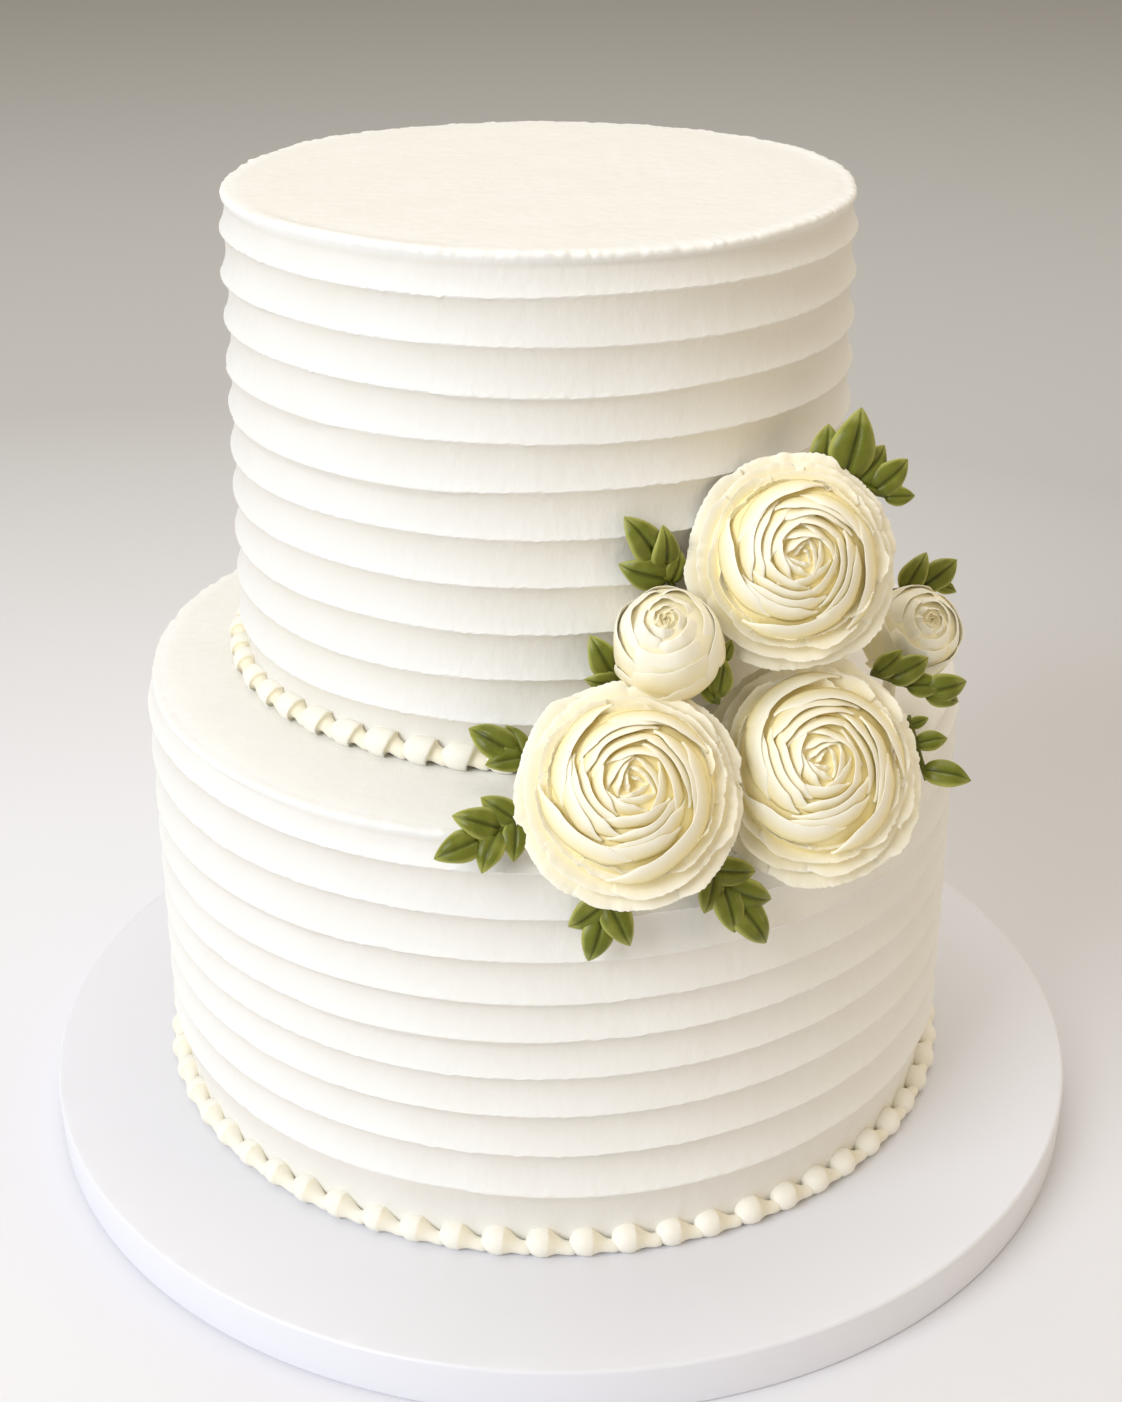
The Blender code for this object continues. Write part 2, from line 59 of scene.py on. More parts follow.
MM = 0.001
TURN = 2.0 * math.pi
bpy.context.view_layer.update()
BOARD_LOW, BOARD_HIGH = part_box("board")
LOWER_LOW, LOWER_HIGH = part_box("lower_tier")
UPPER_LOW, UPPER_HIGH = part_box("upper_tier")


def length(name, text, value):
    """A size in metres that a user can change."""
    return bpy.props.FloatProperty(name=name, description=text, default=value, unit="LENGTH", precision=5)


def count(name, text, value):
    """A whole number that a user can change."""
    return bpy.props.IntProperty(name=name, description=text, default=value, min=1)


def share(name, text, value):
    """A plain number that a user can change."""
    return bpy.props.FloatProperty(name=name, description=text, default=value, precision=4)


def colour(name, text, value):
    """A linear colour that a user can change."""
    return bpy.props.FloatVectorProperty(name=name, description=text, default=value, size=3,
                                         subtype="COLOR", min=0.0, max=1.0)


class CakeSizes(bpy.types.PropertyGroup):
    """Sizes of the board, the tiers and the borders."""
    board_edge: length("Board edge", "Rounding of the board's edges", 0.9 * MM)
    board_columns: count("Board columns", "Facets round the board", 720)
    lower_radius: length("Lower radius", "Lip radius of the lower tier at its lowest lip",
                         (LOWER_HIGH.x - LOWER_LOW.x) / 2.0)
    lower_taper: share("Lower taper", "Radius lost for each metre of height", 0.011)
    lower_first: length("First lower lip", "Height of the lower tier's top lip", 117.5 * MM)
    lower_pitch: length("Lower pitch", "Distance between the lower tier's lips", 10.79 * MM)
    lower_lips: count("Lower lips", "Combed lips on the lower tier", 9)
    lower_lean: length("Lower lean", "Rise of the lower tier's middle lips towards the right", 2.3 * MM)
    lower_depth: length("Lower groove", "Depth of the lower tier's grooves", 1.45 * MM)
    upper_radius: length("Upper radius", "Lip radius of the upper tier at its lowest lip",
                         (UPPER_HIGH.x - UPPER_LOW.x) / 2.0)
    upper_taper: share("Upper taper", "Radius lost for each metre of height", 0.0223)
    upper_first: length("First upper lip", "Height of the upper tier's top lip", 234.6 * MM)
    upper_pitch: length("Upper pitch", "Distance between the upper tier's lips", 10.58 * MM)
    upper_lips: count("Upper lips", "Combed lips on the upper tier", 10)
    upper_depth: length("Upper groove", "Depth of the upper tier's grooves", 1.35 * MM)
    bead_count: count("Beads", "Beads on the board", 63)
    bead_radius: length("Bead radius", "Radius of a bead's ball", 3.45 * MM)
    bead_ring: length("Bead ring", "Radius of the ring that the beads are piped on", 103.4 * MM)
    shell_count: count("Shells", "Shells on the lower tier", 49)
    shell_radius: length("Shell radius", "Radius of a shell's ball", 3.3 * MM)
    shell_ring: length("Shell ring", "Radius of the ring that the shells are piped on", 76.2 * MM)


class FlowerSizes(bpy.types.PropertyGroup):
    """Sizes of the flowers, buds and leaves."""
    dome: length("Dome", "Height of a flower's middle over its rim", 15.0 * MM)
    petal_thickness: length("Petal thickness", "Thickness of a petal", 0.55 * MM)
    petal_columns: count("Petal columns", "Grid steps across a petal", 30)
    petal_rows: count("Petal rows", "Grid steps from a petal's base to its edge", 10)
    leaf_rise: length("Leaf rise", "Height of a leaf's lobes over its border", 1.25 * MM)
    leaf_ratio: share("Leaf ratio", "Width of a leaf over its length", 0.60)
    stem_radius: length("Stem radius", "Radius of a leaf stem", 0.85 * MM)


class CakeColours(bpy.types.PropertyGroup):
    """Linear colours of the finishes."""
    # icing is the painted shade under each lip, also spread by soft random clouds; icing light is the
    # icing's own colour
    icing: colour("Icing", "Thick parts of the icing", (0.785, 0.755, 0.69))
    icing_light: colour("Icing light", "Thin smeared parts of the icing", (0.88, 0.877, 0.862))
    border: colour("Border", "Piped beads and shells", (0.93, 0.91, 0.835))
    # border crease shade is painted shade in the creases behind each bead and where the beads meet the wall
    border_crease_shade: colour("Border deep", "Creases between the beads", (0.83, 0.73, 0.43))
    petal: colour("Petal", "Free edges of the petals", (0.965, 0.94, 0.83))
    # petal groove shade is painted shade down in the grooves between petals and on their backs
    petal_groove_shade: colour("Petal deep", "Petals down in the grooves", (0.93, 0.81, 0.42))
    leaf: colour("Leaf", "Body of the leaves", (0.150, 0.168, 0.019))
    leaf_light: colour("Leaf light", "Edges and tips of the leaves", (0.42, 0.43, 0.11))
    # leaf dark is partly painted shade in the vein's crease; it also darkens the base
    leaf_dark: colour("Leaf dark", "Veins and bases of the leaves", (0.024, 0.028, 0.002))
    board: colour("Board", "Covering of the board", (0.775, 0.785, 0.85))
    # floor and floor far paint a pool of light that falls off away from the front left; floor far is also
    # the grey of the far backdrop
    floor: colour("Floor", "Floor near the cake", (0.79, 0.795, 0.85))
    floor_far: colour("Floor far", "Floor far from the cake", (0.52, 0.52, 0.525))


def unit(vectors):
    """Vectors divided by their lengths, along the last axis."""
    size = np.linalg.norm(vectors, axis=-1, keepdims=True)
    return vectors / np.maximum(size, 1e-12)


def ease(values):
    """Smooth step: three times the square less twice the cube, held to 0 and 1 outside."""
    held = np.clip(values, 0.0, 1.0)
    return held * held * (3.0 - 2.0 * held)


def bump_at(values, middle, width):
    """Bell curve of height one: e to the minus square of the distance over the width."""
    return np.exp(-((values - middle) / width) ** 2)


def waves(angles, seed, low, high, fall):
    """Sum of sines of whole orders low to high round a circle, each with a random phase.

    An order's size is its number to the power of minus fall, and the sum has a
    spread of about one.
    """
    random = np.random.default_rng(seed)
    orders = np.arange(low, high + 1)
    sizes = orders ** -fall * random.uniform(0.5, 1.0, len(orders))
    phases = random.uniform(0.0, TURN, len(orders))
    total = (sizes * np.sin(angles[..., None] * orders + phases)).sum(-1)
    return total / np.sqrt(0.5 * (sizes ** 2).sum())


def grid_faces(rows, columns, closed):
    """Quads of a grid whose points run along the columns first."""
    across = columns if closed else columns - 1
    row, column = np.meshgrid(np.arange(rows - 1), np.arange(across), indexing="ij")
    here = (row * columns + column).ravel()
    side = (row * columns + (column + 1) % columns).ravel()
    return np.stack([here, side, side + columns, here + columns], -1)


def facing_out(points, quads, fans):
    """Turn a closed surface's faces so that the volume they enclose counts as positive."""
    triangles = [quads[:, (0, 1, 2)], quads[:, (0, 2, 3)]]
    if len(fans):
        triangles.append(fans)
    corners = points[np.concatenate(triangles)]
    volume = np.einsum("ij,ij->i", corners[:, 0], np.cross(corners[:, 1], corners[:, 2])).sum()
    if volume < 0.0:
        return quads[:, ::-1], fans[:, ::-1] if len(fans) else fans
    return quads, fans


def skin(rings, values):
    """Closed surface over rings of points, each end closed by a fan to its ring's middle.

    Each point has a value, which becomes the tone that its material reads.
    """
    rows, columns, _ = rings.shape
    points = np.concatenate([rings.reshape(-1, 3), rings[:1].mean(1), rings[-1:].mean(1)])
    quads = grid_faces(rows, columns, True)
    here = np.arange(columns)
    side = (here + 1) % columns
    first = np.full(columns, rows * columns)
    last = (rows - 1) * columns
    fans = np.concatenate([np.stack([first, side, here], -1),
                           np.stack([first + 1, last + here, last + side], -1)])
    quads, fans = facing_out(points, quads, fans)
    tone = np.concatenate([values.ravel(), [values[0].mean(), values[-1].mean()]])
    return points, quads, fans, tone


def shell(front, back, values, back_values):
    """Closed surface of a front and a back grid, joined round their borders, with tones."""
    rows, columns, _ = front.shape
    index = np.arange(rows * columns).reshape(rows, columns)
    loop = np.concatenate([index[0], index[1:, -1], index[-1, -2::-1], index[-2:0:-1, 0]])
    following = np.roll(loop, -1)
    size = rows * columns
    quads = np.concatenate([grid_faces(rows, columns, False),
                            grid_faces(rows, columns, False)[:, ::-1] + size,
                            np.stack([following, loop, loop + size, following + size], -1)])
    points = np.concatenate([front.reshape(-1, 3), back.reshape(-1, 3)])
    quads, fans = facing_out(points, quads, np.zeros((0, 3), int))
    return points, quads, fans, np.concatenate([values.ravel(), back_values.ravel()])


def normals_of(grid):
    """Unit normals of a grid of points, from the cross product of its two slopes."""
    return unit(np.cross(np.gradient(grid, axis=1), np.gradient(grid, axis=0)))


def link_object(name, data):
    """New object in the scene."""
    item = bpy.data.objects.new(name, data)
    bpy.context.scene.collection.objects.link(item)
    return item


def make_piece(name, parts, nodes, material):
    """Join closed surfaces into one object that stands for CAD nodes."""
    offset = 0
    points, quads, fans, tones = [], [], [], []
    for part_points, part_quads, part_fans, part_tone in parts:
        points.append(part_points)
        quads.append(part_quads + offset)
        fans.append(part_fans + offset)
        tones.append(part_tone)
        offset += len(part_points)
    faces = np.concatenate(quads).tolist() + np.concatenate(fans).tolist()
    mesh = bpy.data.meshes.new(name)
    mesh.from_pydata(np.concatenate(points).tolist(), [], faces)
    mesh.attributes.new("tone", "FLOAT", "POINT").data.foreach_set(
        "value", np.concatenate(tones).astype(np.float32))
    mesh.shade_smooth()
    mesh.update()
    mesh.materials.append(material)
    piece = link_object(name, mesh)
    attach(piece, "root")
    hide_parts(*nodes)
    return piece


def centre_of(low, high):
    """Middle of a node's box in plan."""
    return np.array([(low.x + high.x) / 2.0, (low.y + high.y) / 2.0])


# rings of the board's flat faces as shares of its radius, and how rough its rim is
BOARD_UNDER = (0.30, 0.80)
BOARD_OVER = (0.96, 0.88, 0.75, 0.55, 0.30, 0.08)
BOARD_ROUGH = 0.05 * MM


def board_part(sizes):
    """Turned drum: a flat disc whose side is joined to both faces by quarter circles.

    Fast waves, under a bell curve over the rings, make the upper rim a little rough.
    """
    edge = sizes.board_edge
    radius = (BOARD_HIGH.x - BOARD_LOW.x) / 2.0
    height = BOARD_HIGH.z
    turn = np.linspace(0.0, 0.25 * TURN, 6)
    side_r = radius - edge + edge * np.sin(turn)
    side_z = edge * (1.0 - np.cos(turn))
    r = np.concatenate([radius * np.array(BOARD_UNDER), side_r, side_r[::-1], radius * np.array(BOARD_OVER)])
    z = np.concatenate([np.zeros(len(BOARD_UNDER)), side_z, height - side_z[::-1],
                        np.full(len(BOARD_OVER), height)])
    angles = np.linspace(0.0, TURN, sizes.board_columns, endpoint=False)
    rough = bump_at(np.arange(len(r)), 11.0, 1.6)[:, None] * waves(angles, 9, 20, 200, 0.3)
    r = r[:, None] - BOARD_ROUGH * np.abs(rough)
    z = z[:, None] + BOARD_ROUGH * rough
    rings = np.stack([r * np.cos(angles), r * np.sin(angles), z], -1)
    return skin(rings, np.zeros(r.shape))


# rings of a groove, as shares of the way down from one lip to the next
GROOVE_STEPS = (0.0, 0.015, 0.05, 0.11, 0.20, 0.32, 0.46, 0.61, 0.75, 0.87, 0.95, 0.988)
# rings of a flat top, as shares of the rim's radius
TOP_STEPS = (0.945, 0.925, 0.90, 0.85, 0.79, 0.72, 0.64, 0.55, 0.46, 0.37, 0.28, 0.19, 0.10, 0.04)
# rounded rim: distance inwards and below the top in millimetres, and how ragged it is
RIM_STEPS = ((0.10, 1.5, 0.5), (0.06, 1.05, 0.8), (0.22, 0.62, 1.0), (0.60, 0.27, 1.0),
             (1.15, 0.07, 0.6), (1.9, 0.0, 0.3), (2.8, 0.0, 0.1))
# sizes of the unevenness, and the slope of the crown over the rim's radius
LIP_WANDER = 0.16 * MM
LIP_RAGGED = 0.13 * MM
GROOVE_UNEVEN = 0.10
FOLD_LIFT = 0.45 * MM
RIM_NICKS = 0.13 * MM
RIM_WAVES = 0.22 * MM
TOP_WAVES = 0.13 * MM
TOP_SWIRL = 0.07 * MM
CROWN_SLOPE = 0.22
# share of the first band that the rim takes up, and how far columns crowd to the front
RIM_SHARE = 0.30
FRONT_CROWDING = 0.34


def groove_depth(step, depth):
    """Depth under the lip at a share of the way down to the next lip.

    It is four times the share times what is left of it, to a power a little under
    one, with the share drawn towards the lip, so the wall is an even cove.
    """
    drawn = step ** 0.86
    return depth * (4.0 * drawn * (1.0 - drawn)) ** 0.92


def lip_radius(spec, height):
    """Radius of a tier's lips at a height: the lowest lip's, less the taper above it."""
    lowest = spec["first"] - (spec["lips"] - 1) * spec["pitch"]
    return spec["radius"] - spec["taper"] * (height - lowest)


def lip_lines(spec, angles):
    """Heights all round of a tier's rim, then of each lip, then of its foot.

    Lips are one pitch apart, less a drift by a sine of their number. They lean by the
    cosine of the angle, most at mid height, and wander by slow waves.
    """
    lines = [np.full(len(angles), spec["top"])]
    for k in range(spec["lips"]):
        rise = spec["lean"] * math.sin(math.pi * (k + 0.6) / (spec["lips"] + 0.2))
        drift = spec["stretch"] * math.sin(math.pi * k / (spec["lips"] - 1) * spec["drift_turns"])
        wander = LIP_WANDER * waves(angles, spec["seed"] + k, 2, 9, 0.6)
        lines.append(spec["first"] - k * spec["pitch"] + drift + rise * np.cos(angles) + wander)
    lines.append(np.full(len(angles), spec["foot"]))
    return lines


def fold_lift(spec, angles, band, step):
    """How far the folds of a band stand out: flaps that hang over the groove between two angles."""
    lift = np.zeros(len(angles))
    for start, stop, drop, fold_band in spec["folds"]:
        if fold_band == band:
            along = ease((angles % TURN - start) / 0.10) * ease((stop - angles % TURN) / 0.22)
            edge = 0.02 + drop * along
            lift = lift + FOLD_LIFT * (along > 0.01) * ease((edge - step) / 0.03) * ease(step / 0.01)
    return lift


def groove_ring(spec, angles, lines, band, step):
    """Radius and height all round at a share of the way down a band.

    The radius is the lips' less the groove's depth, and fast waves make both lips
    ragged. The last band keeps its depth down to the foot, which is set in.
    """
    seed = spec["seed"] + band
    last = band == len(lines) - 2
    height = lines[band] + step * (lines[band + 1] - lines[band])
    depth = groove_depth(min(step, 0.50) if last else step, spec["depth"])
    depth = depth * (1.0 + GROOVE_UNEVEN * waves(angles, seed + 50, 2, 14, 0.5))
    ragged = bump_at(step, 0.0, 0.02) + bump_at(step, 1.0, 0.03)
    height = height + ragged * LIP_RAGGED * waves(angles, seed + 90 + int(step > 0.5), 20, 260, 0.30)
    radius = lip_radius(spec, height) - depth + fold_lift(spec, angles, band, step)
    if band == 0:
        radius = radius - spec["rim_set"] * (1.0 - step)
    if last:
        radius = radius - spec["foot_recess"] * ease((step - 0.1) / 0.6)
    return radius, height


def top_rings(spec, angles):
    """Rings of a rounded, nicked rim and of a nearly level top that rises to a crown.

    The top has slow waves and rings left by the spatula, a sine of the radius. The
    crown rises as a quarter sine over its slope.
    """
    rings = []
    rim = lip_radius(spec, spec["top"]) - spec["rim_set"]
    nicks = RIM_NICKS * waves(angles, spec["seed"] + 7, 12, 220, 0.4)
    slow = RIM_WAVES * waves(angles, spec["seed"] + 8, 2, 8, 0.5)
    for inward, below, rough in RIM_STEPS:
        height = spec["top"] - below * MM + rough * nicks + slow
        rings.append((rim - inward * MM + 0.6 * rough * nicks, height))
    for inner in TOP_STEPS:
        fade = ease((1.0 - inner) / 0.08)
        level = TOP_WAVES * waves(angles + 2.5 * inner, spec["seed"] + 20, 1, 5, 0.8) * inner
        swirl = TOP_SWIRL * math.sin(26.0 * inner)
        crown = spec["crown"] * math.sin(0.25 * TURN * min(1.0, (1.0 - inner) / CROWN_SLOPE))
        height = spec["top"] + (1.0 - fade) * slow + fade * (level + swirl) + crown
        rings.append((np.full(len(angles), rim * inner), height))
    return rings


def tier_part(spec):
    """Combed tier: bands of grooves from the foot up, a rim and a top.

    Columns stand closer together on the front side. The tone is painted shade: greatest under each
    lip and falling as a power on the way down to the next, with the lips left light.
    """
    even = np.linspace(0.0, TURN, spec["columns"], endpoint=False)
    angles = even - FRONT_CROWDING * np.sin(even) + 0.75 * TURN
    lines = lip_lines(spec, angles)
    rings = []
    tones = []
    for band in reversed(range(len(lines) - 1)):
        for step in reversed(GROOVE_STEPS):
            if band > 0 or step > RIM_SHARE:
                rings.append(groove_ring(spec, angles, lines, band, step))
                # painted shade: the deep icing colour just under each lip, fading down to the next lip; the
                # two rows at the lip stay light
                tones.append(0.95 * (1.0 - step) ** 1.3 * (step > 0.03))
    rings += top_rings(spec, angles)
    tones += [0.0] * len(RIM_STEPS) + [0.30] * len(TOP_STEPS)
    r = np.stack([radius for radius, _ in rings])
    z = np.stack([height for _, height in rings])
    cx, cy = spec["centre"]
    grid = np.stack([cx + r * np.cos(angles), cy + r * np.sin(angles), z], -1)
    return skin(grid, np.repeat(np.array(tones)[:, None], spec["columns"], 1))


def lower_spec(sizes):
    """Sizes of the lower tier.

    A fold has its angles from and to, how far down the band it hangs, and its band.
    """
    return {"centre": centre_of(LOWER_LOW, LOWER_HIGH), "top": LOWER_HIGH.z - 1.9 * MM, "crown": 2.5 * MM,
            "first": sizes.lower_first, "pitch": sizes.lower_pitch, "lips": sizes.lower_lips,
            "lean": sizes.lower_lean, "stretch": -0.9 * MM, "drift_turns": 2.0,
            "foot": BOARD_HIGH.z + 0.1 * MM, "radius": sizes.lower_radius, "taper": sizes.lower_taper,
            "depth": sizes.lower_depth, "rim_set": 1.5 * MM, "foot_recess": 1.5 * MM, "seed": 300,
            "columns": 680,
            "folds": ((3.40, 4.35, 0.13, 3), (3.7, 4.9, 0.10, 4), (4.1, 4.8, 0.14, 5), (4.5, 5.4, 0.10, 9))}


def upper_spec(sizes):
    """Sizes of the upper tier."""
    return {"centre": centre_of(UPPER_LOW, UPPER_HIGH), "top": UPPER_HIGH.z - 0.2 * MM, "crown": 0.1 * MM,
            "first": sizes.upper_first, "pitch": sizes.upper_pitch, "lips": sizes.upper_lips,
            "lean": 0.0, "stretch": 0.9 * MM, "drift_turns": 1.0,
            "foot": LOWER_HIGH.z + 0.8 * MM, "radius": sizes.upper_radius, "taper": sizes.upper_taper,
            "depth": sizes.upper_depth, "rim_set": 0.5 * MM, "foot_recess": 0.4 * MM, "seed": 700,
            "columns": 620,
            "folds": ((3.35, 4.15, 0.20, 4), (3.45, 4.6, 0.12, 5), (4.4, 5.2, 0.10, 3), (3.2, 3.9, 0.08, 2))}


# facets round a piped bead, rings of its ball, how far its crease stands out, and what is
# left of its depth under the floor
PIPED_FACETS = 24
BALL_RINGS = 14
CREASE_LIP = 0.06 * MM
FLOOR_SQUASH = 0.15
# piped borders: half length of a ball in pitches, power of its outline, where its
# crease is, how far it slants, how much its nubs and its painted crease shade show, how high it is
# laid, and then its tail: distance past the crease in pitches, radius over the ball's
BEAD = {"long": 0.38, "power": 2.0, "crease": 0.13, "rake": 0.02, "nubs": 1.0, "deep": 0.35,
        "lift": 0.1 * MM, "seed": 5,
        "tail": ((0.015, 0.915), (0.04, 0.89), (0.09, 0.82), (0.15, 0.72), (0.21, 0.63), (0.28, 0.55),
                 (0.36, 0.50), (0.44, 0.48), (0.52, 0.48), (0.60, 0.44), (0.66, 0.25))}
SHELL = {"long": 0.46, "power": 2.4, "crease": 0.22, "rake": 0.13, "nubs": 0.4, "deep": 0.55,
         "lift": 0.6 * MM, "seed": 6,
         "tail": ((0.012, 0.86), (0.010, 0.79), (0.015, 0.72), (0.035, 0.64), (0.065, 0.58), (0.11, 0.54),
                  (0.17, 0.52), (0.25, 0.52), (0.33, 0.52), (0.42, 0.46), (0.50, 0.25))}


def piped_parts(centre, ring, number, radius, floor, form):
    """Row of piped beads, each a ball, a crease and a tail that runs into the next ball.

    Along the ring a bead's section is a circle whose radius is the root of one less a
    power up to the crease, and then the tail's. Nubs are bell curves on the crease.
    Rake carries the top of the crease further along, and the floor flattens a section.
    """
    random = np.random.default_rng(form["seed"])
    section = np.linspace(0.0, TURN, PIPED_FACETS, endpoint=False)
    long, crease, tail = form["long"], form["crease"], form["tail"]
    front = long * np.cos(np.linspace(math.pi * 0.97, math.acos(crease / long), BALL_RINGS))
    ball = np.sqrt(1.0 - np.abs(front / long) ** form["power"])
    shape = np.concatenate([ball, [size for _, size in tail]])[:, None]
    stations = np.concatenate([front, [crease + step for step, _ in tail]])[:, None]
    steps = np.arange(len(stations))[:, None] - len(front)
    after = (steps >= 0).astype(float)
    past = np.clip((stations - crease) / 0.5, 0.0, 1.0) * after
    line = np.exp(-((steps + 0.6) / 0.9) ** 2)
    lean = form["rake"] * (0.4 + 0.6 * after) * (1.0 - past) * np.sin(section)
    lean = lean * ease((stations + 0.2) / 0.3)
    # painted shade: the tail behind the crease takes the border crease shade, strongest near the crease
    tone = form["deep"] * after * (1.0 - 0.75 * past) * (0.62 + 0.38 * np.sin(section + 0.5))
    # painted shade on the side of the bead that lies against the wall
    tone = tone + 0.45 * ease(-np.cos(section) - 0.2) * (0.4 + 0.6 * after)
    parts = []
    for k in range(number):
        size = radius * (1.0 + random.uniform(-0.05, 0.05))
        shift = random.uniform(-0.035, 0.035)
        tilt = random.uniform(-0.35, 0.35)
        knob = random.uniform(0.2, 0.55) * form["nubs"] * MM
        nub = bump_at(section, 1.25 + tilt, 0.20) + 0.8 * bump_at(section, TURN - 0.95 + tilt, 0.18)
        thick = size * shape + line * (CREASE_LIP + knob * nub)
        angle = TURN / number * (k + shift + stations + lean)
        out = ring + 0.25 * size * ease(past) + thick * np.cos(section)
        height = size * (0.86 - 0.30 * ease(past)) + thick * np.sin(section)
        height = floor + form["lift"] + np.where(height < 0.0, FLOOR_SQUASH * height, height)
        rings = np.stack([centre[0] + out * np.cos(angle), centre[1] + out * np.sin(angle), height], -1)
        parts.append(skin(rings, np.clip(tone, 0.0, 1.0)))
    return parts


def axes_of(facing):
    """Right, up and outward directions of a plane that faces (azimuth, elevation) in degrees."""
    azimuth, elevation = (math.radians(x) for x in facing)
    out = np.array([math.sin(azimuth) * math.cos(elevation), -math.cos(azimuth) * math.cos(elevation),
                    math.sin(elevation)])
    right = np.array([math.cos(azimuth), math.sin(azimuth), 0.0])
    return right, np.cross(out, right), out


# A facing is an azimuth and an elevation in degrees. Places and radii are in
# millimetres. Lean moves a flower's middle right and up, and reach draws its upper
# petals out, both over its radius.
FLOWERS = {
    "flower_top": {
        "centre": (50.0, -67.4, 175.8), "facing": (6.0, 24.0), "radius": 23.4, "seed": 11, "turn": 0.3,
        "foot": (42.0, -44.0, 172.0), "foot_radius": 9.0, "lean": (-0.04, 0.05), "reach": 0.0},
    "flower_left": {
        "centre": (14.4, -97.4, 135.4), "facing": (1.5, 37.0), "radius": 24.5, "seed": 12, "turn": 1.1,
        "foot": (13.0, -88.0, 118.0), "foot_radius": 9.0, "lean": (0.01, 0.01), "reach": 0.0},
    "flower_right": {
        "centre": (55.6, -80.8, 130.6), "facing": (9.0, 37.0), "radius": 24.6, "seed": 13, "turn": 2.3,
        "foot": (53.0, -72.0, 116.0), "foot_radius": 9.0, "lean": (-0.05, 0.05), "reach": 0.11},
}

BUDS = {
    "bud_left": {
        "centre": (22.7, -81.2, 163.7), "facing": (-8.0, 50.0), "radius": 11.2, "seed": 21, "turn": 0.4,
        "foot": (21.0, -62.0, 152.0), "foot_radius": 4.0, "lean": (0.0, 0.0), "reach": 0.0},
    "bud_right": {
        "centre": (81.7, -45.8, 149.6), "facing": (21.0, 40.0), "radius": 10.5, "seed": 22, "turn": 1.7,
        "foot": (77.5, -40.0, 118.0), "foot_radius": 1.7, "lean": (0.0, 0.0), "reach": 0.0},
}

# first and last edge radius of the wrapped petals, over the flower's
WRAPPED_FROM = 0.03
WRAPPED_TO = 0.635
# open whorls: edge radius and height of the edge, then of the base, over the flower's
# radius and in millimetres
OPEN_WHORLS = (
    (0.72, 7.4, 0.58, 3.2), (0.815, 5.3, 0.60, 2.2), (0.91, 2.6, 0.62, 0.8), (1.0, -0.2, 0.60, -0.8),
)
OPEN_PETALS = 6
# the core's radii under the wrapped petals, over the flower's, and then its radii and
# heights in millimetres behind the petals
CORE_FRONT = (0.02, 0.07, 0.14, 0.24, 0.34, 0.44, 0.54, 0.60)
CORE_BACK = ((0.66, 7.2), (0.71, 4.4), (0.78, 2.0), (0.86, -0.8), (0.84, -3.0), (0.62, -5.2))
CORE_COLUMNS = 48
# core tones are painted shade: the core, seen only deep between the petals, is mostly the groove shade
# colour, less near the cake
CORE_TONES = (0.9, 0.45)
# lobes of a frilled edge in a full turn
WRAPPED_LOBES = 90.0
OPEN_LOBES = 104.0
BUD_LOBES = 60.0


def dome_height(part, dome):
    """Height of the flower's dome at a share of its radius, with a hollow in the middle."""
    return dome * (1.0 - np.abs(part) ** 2.3) - 0.10 * dome * np.exp(-(part / 0.07) ** 2)


def frill(angles, seed, number):
    """Scalloped line: rounded lobes between sharp notches, about so many in a turn.

    It is the size of a sine whose phase wanders, so that the lobes differ.
    """
    slow = waves(angles, seed, 3, 11, 0.3)
    lobes = np.abs(np.sin(0.5 * number * angles + 1.6 * slow))
    return (lobes - 0.64) * (0.7 + 0.4 * waves(angles, seed + 1, 5, 19, 0.3))


def edge_first(rows):
    """Steps from 0 at a free edge to 1 at a base, closer together near the edge."""
    return (np.linspace(0.0, 1.0, rows) ** 1.6)[:, None]


def petal_shell(place, turn, distance, height, along, thick, tone, back_tone):
    """Thin closed petal either side of its middle surface, rounded at its free edge.

    The thickness grows as a power over the first third from the edge.
    """
    middle = place(turn, distance, height)
    normal = normals_of(middle)
    out = place(turn, distance, height + MM) - middle
    sign = np.sign((normal * out).sum(-1).mean())
    half = 0.5 * thick * np.clip(along / 0.33, 0.03, 1.0) ** 0.6 * np.ones_like(distance)
    offset = sign * normal * half[..., None]
    ones = np.ones_like(distance)
    return shell(middle + offset, middle - offset, np.clip(tone * ones, 0.0, 1.0),
                 np.clip(back_tone * ones, 0.0, 1.0))


def petal_grid(grid, half_span, angle, lobes, random):
    """Shares across a petal and along it from its edge, angles, and slow and frilled waves."""
    columns, rows, orders = grid
    across = np.linspace(-1.0, 1.0, columns)[None, :]
    along = edge_first(rows)
    turn = angle + half_span * across + 0.0 * along
    seed = int(random.integers(1 << 20))
    return across, along, turn, waves(turn, seed, 2, orders, 0.4), frill(turn, seed + 2, lobes), seed


